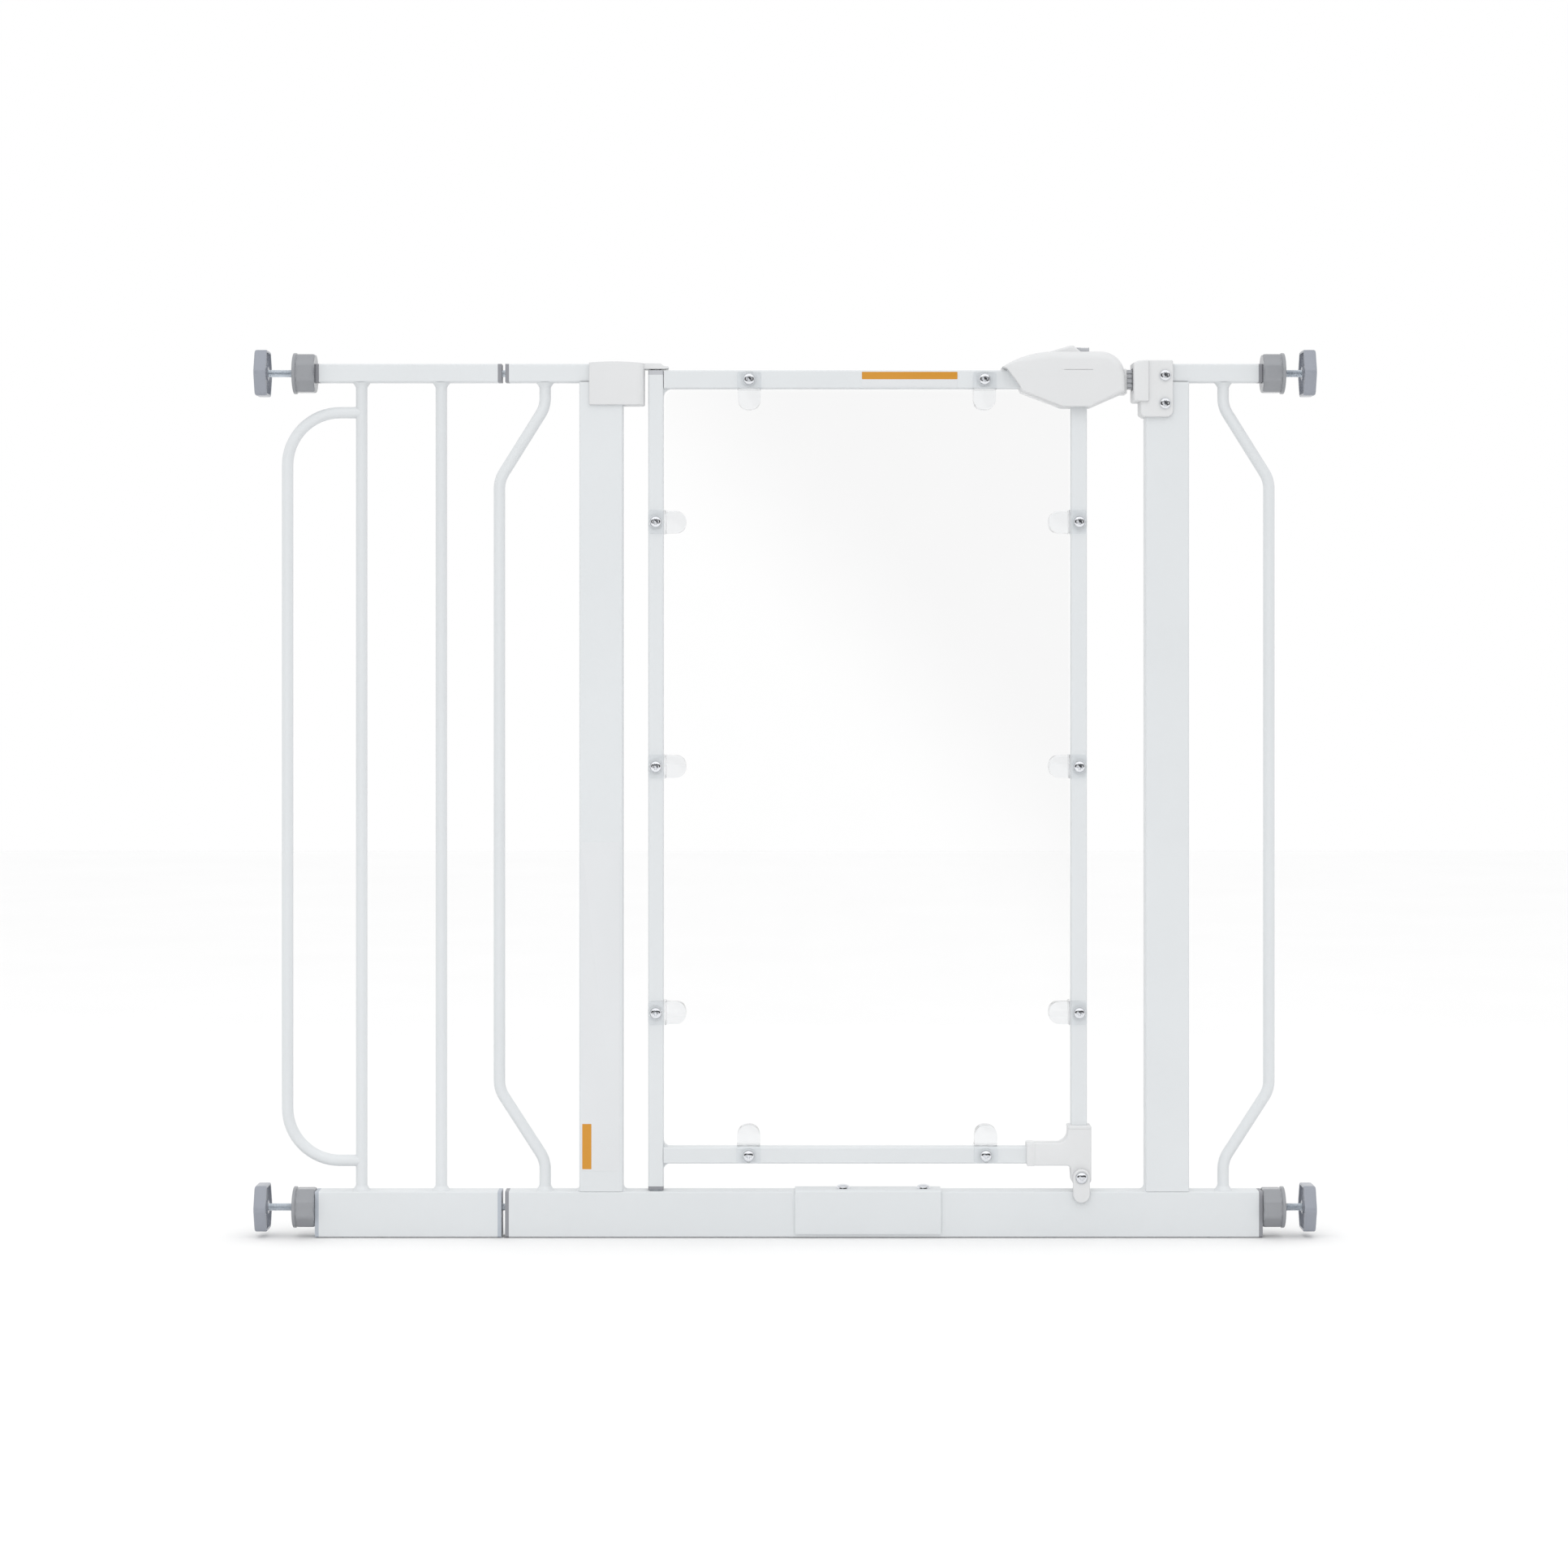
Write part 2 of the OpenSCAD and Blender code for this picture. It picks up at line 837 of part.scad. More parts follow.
// Lobed hand wheel with a flange towards the wall
module hand_nut(s, z) {
    lobes = 8;
    body_r = 16.5;
    groove_r = 7;
    groove_depth = 1.2;
    flange_t = 3;
    flange_d = 36;
    color(grey_plastic)
        at_wall(s, z)
            difference() {
                union() {
                    along_x(body_gap, nut_l - flange_t + 1)
                        difference() {
                            circle(body_r);
                            for (i = [0 : lobes - 1])
                                rotate((i + 0.5) * 360 / lobes)
                                    translate([body_r + groove_r - groove_depth, 0])
                                        circle(groove_r);
                        }
                    rod_x(nut_l - flange_t, nut_l, 0, flange_d);
                }
                rod_x(-1, nut_l + 1, 0, rod_d + 2 * running);
            }
}

// ---------- door ----------

module hinge_stile() {
    color(white_metal)
        difference() {
            union() {
                tube_z(hinge_x, door_foot, stile_top, door_tube, door_tube);
                corner_weld(opening_left, door_top_under, 1, -1, 7, 4);
                corner_weld(opening_left, opening_low, 1, 1, 6, 4);
                corner_weld(opening_left, opening_low - low_rail_h, 1, -1, 6, 4);
            }
            for (z = clip_side_z)
                rod_y(hinge_x, z, -10, 10, screw_d);
        }
}

module latch_stile() {
    color(white_metal)
        difference() {
            tube_z(latch_x, opening_low - low_rail_h, door_top_under, latch_stile_w, door_tube);
            for (z = clip_side_z)
                rod_y(latch_x, z, -10, 10, screw_d);
        }
}

module door_top_rail() {
    color(white_metal)
        difference() {
            tube_x(opening_left + 0.6, latch_x + latch_stile_w / 2, door_top - door_rail_h / 2,
                door_tube, door_rail_h);
            for (x = clip_top_x)
                rod_y(x, door_top - door_rail_h / 2, -10, 10, screw_d);
        }
}

module door_bottom_rail() {
    color(white_metal)
        difference() {
            tube_x(opening_left, opening_right, low_rail_z, door_tube, low_rail_h);
            for (x = clip_low_x)
                rod_y(x, low_rail_z, -10, 10, screw_d);
        }
}

// Plug of a stile's end: z is the tube's end, out is 1 upwards
module stile_plug(z, out, flange) {
    reach = 18;
    inside = door_tube - 2 * tube_wall - cap_slack;
    collar_d = 9;
    translate([hinge_x, 0, z])
        mirror([0, 0, out < 0 ? 1 : 0])
            difference() {
                union() {
                    linear_extrude(flange)
                        round_rect(door_tube, door_tube, tube_r);
                    translate([0, 0, -reach])
                        linear_extrude(reach + 1)
                            round_rect(inside, inside, 0.5);
                    if (out > 0)
                        cylinder(h = flange + 0.8, d = collar_d);
                }
                translate([0, 0, -reach - 1])
                    cylinder(h = reach + flange + 3, d = pin_d + 2 * running);
            }
}

module upper_plug() {
    color(dark_grey)
        stile_plug(stile_top, 1, 3.9);
}

module lower_plug() {
    color(dark_grey)
        stile_plug(door_foot, -1, 2.9);
}

// Moulded corner over the foot of the latch stile and the end of the bottom rail
module corner_bracket() {
    low = tab_z - 6;
    small_fillet = 4;
    tab_boss_d = 13;
    color(white_plastic)
        difference() {
            union() {
                slab(-corner_half, corner_half)
                    union() {
                        translate([corner_left + corner_right, low + corner_top] / 2)
                            round_rect(corner_right - corner_left, corner_top - low, corner_round);
                        translate([corner_arm_left + corner_right, corner_arm_under + corner_arm_top] / 2)
                            round_rect(corner_right - corner_arm_left, corner_arm_top - corner_arm_under,
                                corner_round);
                        translate([corner_left - corner_fillet, corner_arm_top])
                            difference() {
                                square(corner_fillet);
                                translate([0, corner_fillet])
                                    circle(corner_fillet);
                            }
                        translate([corner_left - small_fillet, corner_arm_under - small_fillet])
                            difference() {
                                square(small_fillet);
                                circle(small_fillet);
                            }
                    }
                rod_y(tab_x, tab_z, -tab_back + 0.1, -corner_half + 1, tab_boss_d);
            }
            translate([latch_x, 0, opening_low - low_rail_h])
                linear_extrude(corner_top)
                    round_rect(latch_stile_w, door_tube, tube_r);
            along_x(corner_arm_left - 1, opening_right)
                translate([0, low_rail_z])
                    round_rect(door_tube, low_rail_h, tube_r);
            rod_y(tab_x, tab_z, -20, 4, tab_pin_d);
        }
}

// Clear sheet inside the door's tubes, cut away round the corner bracket and the handle
module acrylic_panel() {
    left = opening_left + panel_gap;
    right = opening_right - panel_gap;
    low = opening_low + panel_gap;
    top = door_top_under - panel_gap;
    corner = 8;
    handle_line = door_top - handle_under - 1.3;
    bracket_line = corner_top + 2.4;
    notch_r = 9.4;
    notch_right = corner_left - 2.2;
    notch_low = corner_arm_top + body_gap;
    color(clear)
        slab(-panel_t / 2, panel_t / 2)
            polygon(concat(
                arc([left + corner, low + corner], corner, 270, 180, 8),
                arc([left + corner, top - corner], corner, 180, 90, 8),
                [[latch_x - 53.5, top], [latch_x - 16, handle_line], [right, handle_line]],
                [[right, bracket_line], [notch_right, bracket_line]],
                arc([notch_right - notch_r, notch_low + notch_r], notch_r, 0, -90, 6),
                [[corner_arm_left - panel_gap, notch_low], [corner_arm_left - panel_gap, low]]));
}

// Runs its children at each clip: +X points from the screw into the opening
module at_clips() {
    for (x = clip_top_x)
        translate([x, 0, door_top - door_rail_h / 2])
            rotate([0, 90, 0])
                children();
    for (x = clip_low_x)
        translate([x, 0, low_rail_z])
            rotate([0, -90, 0])
                children();
    for (z = clip_side_z) {
        translate([hinge_x, 0, z])
            children();
        translate([latch_x, 0, z])
            rotate([0, 180, 0])
                children();
    }
}

// One clip: a pad on the tube, with a finger that steps down over the panel
module clip() {
    tip = clip_w / 2 - 1.5;
    inner = door_rail_h / 2 + body_gap;
    face = -door_half - clip_t;
    step_w = clip_w - 1;
    difference() {
        union() {
            slab(face, -door_half)
                translate([(inner - door_half) / 2, 0])
                    round_rect(inner + door_half, step_w, 2);
            slab(face, -door_half)
                translate([inner - 3, -step_w / 2])
                    square([4, step_w]);
            slab(face + clip_step, -panel_t / 2)
                union() {
                    translate([inner, -clip_w / 2])
                        square([clip_reach - tip - inner, clip_w]);
                    translate([clip_reach - tip, -tip])
                        square([0.5, 2 * tip]);
                    translate([clip_reach - tip, 0])
                        half_disc(tip);
                }
            rod_y(0, 0, face - rivet_rise, -door_half - 0.5, 2 * dome_r + 2.4);
        }
        rod_y(0, 0, -20, 0, screw_d);
    }
}

module half_disc(r) {
    intersection() {
        circle(r);
        translate([0, -r])
            square(2 * r);
    }
}

module clips_front() {
    color(clear)
        at_clips()
            clip();
}

module clips_rear() {
    color(clear)
        at_clips()
            mirror([0, 1, 0])
                clip();
}

module clip_screws() {
    face = door_half + clip_t + rivet_rise;
    color(zinc)
        at_clips()
            through_screw(0, 0, -face, face);
}

// ---------- handle ----------

// The handle's outline, seen from the front
function handle_outline() = concat(
    arc([latch_x - 21.5, door_top + handle_rise - handle_back_r], handle_back_r, 124, 90, 12),
    arc([handle_nose_x - handle_nose_r, door_top + handle_rise - handle_nose_r], handle_nose_r, 90, 0, 10),
    [[handle_nose_x, door_top - 19.5], [handle_nose_x - 2.5, door_top - 21]],
    [[latch_x + 10, door_top - handle_under], [latch_x - 15, door_top - handle_under]],
    [[latch_x - 50.5, door_top - 18.5], [latch_x - 52.5, door_top - 13.5], [latch_x - 63.4, door_top + 0.8]]);

// The same outline drawn smaller about its middle
module handle_profile(share) {
    middle = [latch_x - 8, door_top - 8];
    translate(middle)
        scale(share)
            translate(-middle)
                polygon(handle_outline());
}

// Raised hood that the button slides under
module hood_profile() {
    polygon([[latch_x - 20.2, door_top + 15.8], [latch_x - 3.9, hood_top],
        [latch_x - 1, hood_top - 1.1], [latch_x + 1.9, door_top + 15.8]]);
}

module hood_pocket() {
    slab(-button_half - 0.4, button_half + 0.4)
        polygon([[latch_x - 13, hood_floor], [latch_x - 3.9, hood_roof],
            [latch_x + 2.5, hood_roof], [latch_x + 2.5, hood_floor]]);
}

// Everything that sits or slides inside the handle
module handle_pockets() {
    stile_right = latch_x + latch_stile_w / 2;
    slot_left = latch_x + stem_left - latch_back - 0.5;
    slot_right = latch_x + stem_left + stem_l + latch_throw + 2.5;
    along_x(latch_x - 80, stile_right)
        translate([0, door_top - door_rail_h / 2])
            round_rect(door_tube, door_rail_h, tube_r);
    translate([latch_x, 0, door_top - 60])
        linear_extrude(60 - door_rail_h)
            round_rect(latch_stile_w, door_tube, tube_r);
    translate([stile_right - 1, -bolt_half - body_gap, latch_mid - bolt_h / 2 - body_gap])
        cube([50, 2 * (bolt_half + body_gap), bolt_h + 2 * body_gap]);
    translate([latch_x - 7, -carriage_half - 0.4, door_top])
        cube([46, 2 * carriage_half + 0.8, carriage_t + 1.1]);
    translate([slot_left, -stem_half - 0.4, door_top + 3])
        cube([slot_right - slot_left, 2 * stem_half + 0.8, 14]);
    hood_pocket();
}

// Half of the handle's casing: side is -1 at the front and 1 at the rear
module handle_shell(side) {
    rib_at = [-26, 25];
    rib_t = 2;
    boss_d = 7;
    rim = shell_step - shell_half;
    mirror([0, side > 0 ? 1 : 0, 0])
        difference() {
            union() {
                difference() {
                    union() {
                        slab(rim, 0)
                            handle_profile(1);
                        slab(-shell_half, 0)
                            handle_profile(face_share);
                        slab(-hood_half, 0)
                            hood_profile();
                    }
                    slab(shell_t - shell_half, 1)
                        handle_profile(cavity_share);
                }
                for (x = rib_at)
                    intersection() {
                        slab(rim, 0)
                            handle_profile(rib_share);
                        translate([latch_x + x, -shell_half, door_top - 50])
                            cube([rib_t, shell_half, 100]);
                    }
                for (p = handle_screw_at)
                    rod_y(latch_x + p[0], door_top + p[1], rim, 0, boss_d);
            }
            handle_pockets();
            for (p = handle_screw_at)
                rod_y(latch_x + p[0], door_top + p[1], side > 0 ? -shell_half - 1 : -casing_screw_reach, 1,
                    casing_screw_d);
        }
}

module handle_front() {
    color(white_plastic)
        handle_shell(-1);
}

module handle_rear() {
    color(white_plastic)
        handle_shell(1);
}

module handle_screws() {
    color(zinc)
        for (p = handle_screw_at)
            translate([latch_x + p[0], 0, door_top + p[1]]) {
                translate([0, shell_half, 0])
                    rotate([-90, 0, 0])
                        dome(casing_screw_d, 1.2);
                rod_y(0, 0, -casing_screw_reach, shell_half, casing_screw_d);
            }
}

module door_sticker() {
    edge = 1.5;
    color("orange")
        translate([66.9, -door_half - label_t, door_top_under + edge])
            cube([83.4, label_t, door_rail_h - 2 * edge]);
}

// ---------- latch and stop ----------

// Bolt with a carriage that runs above the door's top rail
module latch_bolt() {
    neck_l = 12;
    color(dark_grey)
        union() {
            translate([bolt_root, -bolt_half, latch_mid - bolt_h / 2])
                cube([bolt_tip - bolt_root, 2 * bolt_half, bolt_h - 0.2]);
            translate([latch_x - 0.5, -carriage_half, door_top + body_gap])
                cube([29, 2 * carriage_half, carriage_t]);
            translate([bolt_root, -carriage_half, door_top - 1])
                cube([neck_l, 2 * carriage_half, 2]);
        }
}

// Button whose rear slope slides under the hood
module latch_button() {
    low = hood_floor + 0.1;
    top = hood_roof - 0.4;
    color(grey_plastic)
        union() {
            translate([latch_x + stem_left, -stem_half, door_top + body_gap + carriage_t])
                cube([stem_l, 2 * stem_half, 13]);
            slab(-button_half, button_half)
                polygon([[latch_x - 3.6, low], [latch_x + 0.9, top],
                    [latch_x + 8.9, top], [latch_x + 8.9, low]]);
        }
}

// Wire coil between the latch stile and the bolt
module latch_spring() {
    wire = 0.5;
    coil = 4;
    turns = 3;
    steps = 12;
    sides = 8;
    start = latch_x + latch_stile_w / 2 + wire + 0.1;
    pitch = (bolt_root - wire - 0.1 - start) / turns;
    rings = [for (i = [0 : turns * steps])
        let(a = 360 * i / steps, mid = [start + pitch * i / steps, 0, latch_mid])
        [for (j = [0 : sides - 1])
            let(b = 360 * j / sides, r = coil + wire * cos(b))
            mid + [wire * sin(b), r * cos(a), r * sin(a)]]];
    n = len(rings);
    color(zinc)
        polyhedron(
            points = [for (ring = rings) each ring],
            faces = concat(
                [[for (j = [0 : sides - 1]) j]],
                [for (i = [0 : n - 2], j = [0 : sides - 1])
                    let(k = (j + 1) % sides, this = i * sides, next = this + sides)
                    each [[this + j, next + j, next + k], [this + j, next + k, this + k]]],
                [[for (j = [sides - 1 : -1 : 0]) (n - 1) * sides + j]]));
}

// Tab that hangs over the front of the floor rail and turns up out of the way
module stop_tab() {
    low = tab_z - 22.2 + tab_w / 2;
    color(white_plastic)
        difference() {
            slab(-tab_back - tab_t, -tab_back)
                translate([tab_x, 0])
                    union() {
                        translate([0, tab_z])
                            circle(d = tab_w);
                        translate([-tab_w / 2, low])
                            square([tab_w, tab_z - low]);
                        translate([0, low])
                            circle(d = tab_w);
                    }
            rod_y(tab_x, tab_z, -20, 0, tab_pin_d + 2 * running);
        }
}

module stop_tab_screw() {
    head = -tab_back - tab_t - 0.1;
    color(zinc)
        union() {
            translate([tab_x, head, tab_z])
                rotate([90, 0, 0])
                    dome(dome_r, dome_h);
            rod_y(tab_x, tab_z, head, 4, tab_pin_d);
        }
}

// ---------- drawing ----------

hinge_post();
latch_post();
threshold_left();
threshold_right();
threshold_joiner();
joiner_bolts();
top_rail_left();
top_rail_right();
curved_bar_left();
curved_bar_right();
hinge_bracket();
hinge_bracket_screws();
upper_hinge_pin();
lower_hinge_pin();
catch_front();
catch_rear();
catch_screws();
frame_top_caps();
frame_bottom_caps();
post_sticker();
ext_top_rail();
ext_bottom_rail();
ext_outer_bar();
ext_inner_bar();
ext_bow();
ext_top_caps();
ext_bottom_caps();
ext_pegs();
wall_pad(-1, rail_mid);  // top_left_pad
spindle_rod(-1, rail_mid);  // top_left_rod
hand_nut(-1, rail_mid);  // top_left_nut
wall_pad(-1, spindle_low);  // bottom_left_pad
spindle_rod(-1, spindle_low);  // bottom_left_rod
hand_nut(-1, spindle_low);  // bottom_left_nut
wall_pad(1, rail_mid);  // top_right_pad
spindle_rod(1, rail_mid);  // top_right_rod
hand_nut(1, rail_mid);  // top_right_nut
wall_pad(1, spindle_low);  // bottom_right_pad
spindle_rod(1, spindle_low);  // bottom_right_rod
hand_nut(1, spindle_low);  // bottom_right_nut
hinge_stile();
latch_stile();
door_top_rail();
door_bottom_rail();
upper_plug();
lower_plug();
corner_bracket();
acrylic_panel();
clips_front();
clips_rear();
clip_screws();
handle_front();
handle_rear();
handle_screws();
door_sticker();
latch_bolt();
latch_button();
latch_spring();
stop_tab();
stop_tab_screw();
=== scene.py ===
"""Looks of the pet gate, built around its CAD frame. Sizes here are in millimetres until mesh_object()."""

import json
import math

import bmesh
import bpy
from mathutils import Matrix, Vector


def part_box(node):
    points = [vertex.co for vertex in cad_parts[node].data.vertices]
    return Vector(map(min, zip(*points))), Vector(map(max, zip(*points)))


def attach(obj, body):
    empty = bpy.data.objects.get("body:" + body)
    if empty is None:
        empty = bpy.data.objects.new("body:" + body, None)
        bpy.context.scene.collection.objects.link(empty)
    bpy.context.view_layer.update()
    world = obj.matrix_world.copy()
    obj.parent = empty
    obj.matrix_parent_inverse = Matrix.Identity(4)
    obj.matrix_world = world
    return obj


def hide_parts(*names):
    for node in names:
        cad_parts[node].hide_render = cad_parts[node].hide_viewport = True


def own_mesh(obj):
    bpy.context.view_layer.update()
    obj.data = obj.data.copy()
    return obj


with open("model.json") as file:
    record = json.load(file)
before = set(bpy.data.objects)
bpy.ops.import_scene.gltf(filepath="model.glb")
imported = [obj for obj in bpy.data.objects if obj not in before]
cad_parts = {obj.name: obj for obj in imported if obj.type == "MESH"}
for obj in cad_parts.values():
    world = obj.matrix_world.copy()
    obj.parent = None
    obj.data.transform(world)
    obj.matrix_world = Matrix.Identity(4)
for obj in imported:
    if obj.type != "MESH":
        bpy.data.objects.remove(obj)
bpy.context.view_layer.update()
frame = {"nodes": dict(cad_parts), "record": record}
MM = 0.001
PI = math.pi

# The round bars, how far their welds flare out, and where a flare gets its rings, in flares along the bar.
BAR_R = 5
WELD = 3
WELD_REACH = 1.5
WELD_RINGS = [WELD_REACH * share for share in (0, 0.1, 0.25, 0.5, 0.75, 1)]

# The domed screws' heads, the rings of a dome as shares of its radius, and the cap nuts behind.
HEAD_R = 5
HEAD_HIGH = 3
DOME_RINGS = (1.0, 0.985, 0.94, 0.87, 0.78, 0.68, 0.58, 0.5, 0.42, 0.34, 0.27, 0.2, 0.13, 0.06)
NUT_ACROSS = 8


class Box:
    """A CAD node's box in millimetres."""

    def __init__(self, node):
        low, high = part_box(node)
        self.x0, self.y0, self.z0 = (c / MM for c in low)
        self.x1, self.y1, self.z1 = (c / MM for c in high)
        self.x = (self.x0 + self.x1) / 2
        self.z = (self.z0 + self.z1) / 2


# ---------- outlines ----------


def anticlockwise(points):
    """The same outline, running anticlockwise."""
    area = sum(a[0] * b[1] - b[0] * a[1] for a, b in zip(points, points[1:] + points[:1]))
    return list(points) if area > 0 else list(reversed(points))


def fillet(points, radii, steps=6):
    """Points with their corners rounded. radii is one number or one for each corner; 0 keeps a corner."""
    n = len(points)
    nearly_straight = PI / 2 - 0.02
    if not isinstance(radii, (list, tuple)):
        radii = [radii] * n
    out = []
    for i, radius in enumerate(radii):
        p = Vector(points[i])
        a = (Vector(points[i - 1]) - p).normalized()
        b = (Vector(points[(i + 1) % n]) - p).normalized()
        half = a.angle(b) / 2
        if radius <= 0 or half > nearly_straight:
            out.append(tuple(p))
            continue
        centre = p + (a + b).normalized() * (radius / math.sin(half))
        start = p + a * (radius / math.tan(half)) - centre
        end = p + b * (radius / math.tan(half)) - centre
        turn = start.angle(end)
        for k in range(steps + 1):
            t = k / steps
            way = start * math.sin((1 - t) * turn) + end * math.sin(t * turn)
            out.append(tuple(centre + way / math.sin(turn)))
    return out


def arc(cx, cz, radius, start, end, steps):
    """Points on an arc, angles in degrees."""
    angles = [math.radians(start + (end - start) * k / steps) for k in range(steps + 1)]
    return [(cx + radius * math.cos(a), cz + radius * math.sin(a)) for a in angles]


def rectangle(x0, x1, z0, z1):
    """A rectangle's corners, anticlockwise."""
    return [(x0, z0), (x1, z0), (x1, z1), (x0, z1)]


def inset(outline, amounts):
    """An anticlockwise outline moved inwards, by one amount for each point."""
    out = []
    n = len(outline)
    sharpest = 0.5
    for i, amount in enumerate(amounts):
        p = Vector(outline[i])
        before = (p - Vector(outline[i - 1])).normalized()
        after = (Vector(outline[(i + 1) % n]) - p).normalized()
        first = Vector((-before.y, before.x))
        way = (first + Vector((-after.y, after.x))).normalized()
        out.append(tuple(p + way * (amount / max(sharpest, way.dot(first)))))
    return out


# ---------- shapes: (points, faces) pairs ----------


def loft(rings):
    """Quads between rings of equal length, closed by a flat face at each end."""
    n = len(rings[0])
    count = len(rings)
    faces = []
    for k in range(count - 1):
        for i in range(n):
            j = (i + 1) % n
            up = k + 1
            faces.append((k * n + i, k * n + j, up * n + j, up * n + i))
    faces += [tuple(range(n)), tuple(range((count - 1) * n, count * n))]
    return [p for ring in rings for p in ring], faces


def turned_to(plane, u, v, depth):
    """A point of a flat outline, put in the row's axes."""
    if plane == "xz":
        return (u, depth, v)
    if plane == "yz":
        return (depth, u, v)
    return (u, v, depth)


def slab(outline, low, high, edge_low=0.0, edge_high=0.0, plane="xz", steps=4):
    """An outline made thick from low to high. Each edge radius is one number or one for each point."""
    outline = anticlockwise(outline)
    n = len(outline)
    edges = [e if isinstance(e, (list, tuple)) else [e] * n for e in (edge_low, edge_high)]
    rings = []
    for end, depth, sign in ((0, low, 1), (1, high, -1)):
        radii = edges[end]
        layers = steps if max(radii) > 0 else 0
        turns = [PI / 2 * k / layers for k in range(layers + 1)] if layers else [PI / 2]
        for a in turns if end == 0 else reversed(turns):
            moved = inset(outline, [r * (1 - math.sin(a)) for r in radii])
            rings.append([turned_to(plane, *p, depth + sign * r * (1 - math.cos(a)))
                          for p, r in zip(moved, radii)])
    return loft(rings)


def lathe(profile, centre, axis="y", n=48, wave=None):
    """A round shape from (distance along the axis, radius) pairs.

    wave(angle, distance, radius), where it is given, says what the radius becomes.
    """
    rings = []
    for along, radius in profile:
        ring = []
        for k in range(n):
            a = 2 * PI * k / n
            r = wave(a, along, radius) if wave else radius
            u, v = r * math.cos(a), r * math.sin(a)
            spot = {"x": (along, u, v), "y": (u, along, v), "z": (u, v, along)}[axis]
            ring.append(tuple(c + d for c, d in zip(spot, centre)))
        rings.append(ring)
    return loft(rings)


def weld_radius(distance, bar, weld):
    """Radius of a bar at a distance from the tube that it is welded to; it flares out at the weld."""
    return bar + weld * max(0.0, 1 - distance / (WELD_REACH * weld)) ** 1.3


def swept(path, bar, weld, n=24):
    """A round bar along a path of (x, z) points, flared at both ends if weld is over 0."""
    first, last = Vector(path[0]), Vector(path[-1])
    start_way = (Vector(path[1]) - first).normalized()
    end_way = (Vector(path[-2]) - last).normalized()
    points = [Vector(p) for p in path[1:-1]]
    if weld > 0:
        points = [first + start_way * weld * s for s in WELD_RINGS] + points
        points += [last + end_way * weld * s for s in reversed(WELD_RINGS)]
    else:
        points = [first] + points + [last]
    rings = []
    for i, p in enumerate(points):
        way = (points[min(i + 1, len(points) - 1)] - points[max(i - 1, 0)]).normalized()
        away = min((p - first).length, (p - last).length)
        r = weld_radius(away, bar, weld) if weld > 0 else bar
        ring = []
        for k in range(n):
            a = 2 * PI * k / n
            side = r * math.sin(a)
            ring.append((p.x - way.y * side, r * math.cos(a), p.y + way.x * side))
        rings.append(ring)
    return loft(rings)


def thread(x0, x1, z, radius, pitch=1.0, depth=0.45, chamfer=0.8, n=16, per_turn=6):
    """A threaded rod along X, with a chamfer at both ends."""
    count = int((x1 - x0) / pitch * per_turn)
    rings = []
    for k in range(count + 1):
        x = x0 + (x1 - x0) * k / count
        end = min(k, count - k) / per_turn
        cap = radius - max(0.0, chamfer * (1 - end))
        ring = []
        for i in range(n):
            a = 2 * PI * i / n
            phase = (x / pitch - i / n) % 1.0
            r = min(cap, radius - depth * (1 - abs(2 * phase - 1)))
            ring.append((x, r * math.cos(a), z + r * math.sin(a)))
        rings.append(ring)
    return loft(rings)


def cross_recess(u, v):
    """Depth of a cross recess at a point of a screw head of radius 1, from 0 to 1."""
    narrow, wide = sorted((abs(u), abs(v)))
    across = min(1.0, max(0.0, (0.17 - narrow) / 0.06))
    along = min(1.0, max(0.0, (0.56 - wide) / 0.14))
    return across * along


def dome_head(x, y, z, radius=HEAD_R, height=HEAD_HIGH, way=-1, n=48):
    """A domed screw head with a shallow cross recess, proud of y towards way and sunk 0.4 into it."""
    turns = [2 * PI * k / n for k in range(n)]
    rings = [[(x + radius * math.cos(a), y - way * 0.4, z + radius * math.sin(a)) for a in turns]]
    rim, recess = 0.22 * height, 0.3 * height
    for f in DOME_RINGS:
        dome = rim + (height - rim) * math.sqrt(max(0.0, 1 - f ** 2.2))
        ring = []
        for a in turns:
            u, v = f * math.cos(a), f * math.sin(a)
            rise = dome - recess * cross_recess(u, v)
            ring.append((x + radius * u, y + way * rise, z + radius * v))
        rings.append(ring)
    return loft(rings)


def cap_nut(x, y, z, height, across=NUT_ACROSS):
    """A domed hexagon nut on a rear face, proud of y towards the back."""
    flat, corner, dome = across * 0.5, across * 0.56, across * 0.42
    base = 0.45 * height
    steps = 7

    def hexagon(a, along, radius):
        if radius < flat:
            return radius
        return min(radius, flat / math.cos((a + PI / 6) % (PI / 3) - PI / 6))

    profile = [(-0.3, corner), (base - 0.5, corner), (base, corner * 0.93), (base, dome)]
    for k in range(1, steps):
        a = PI / 2 * k / steps
        profile.append((base + (height - base) * math.sin(a), dome * math.cos(a)))
    return lathe(profile, (x, y, z), "y", 48, hexagon)


# ---------- objects ----------


def mesh_object(name, shapes, material, sharp=32):
    """One object, in metres, from closed shapes in millimetres."""
    bm = bmesh.new()
    for points, faces in shapes:
        made = [bm.verts.new(Vector(p) * MM) for p in points]
        for face in faces:
            bm.faces.new([made[i] for i in face])
    bmesh.ops.recalc_face_normals(bm, faces=bm.faces)
    mesh = bpy.data.meshes.new(name)
    bm.to_mesh(mesh)
    bm.free()
    mesh.materials.append(material)
    mesh.shade_smooth()
    mesh.set_sharp_from_angle(angle=math.radians(sharp))
    obj = bpy.data.objects.new(name, mesh)
    bpy.context.scene.collection.objects.link(obj)
    return obj


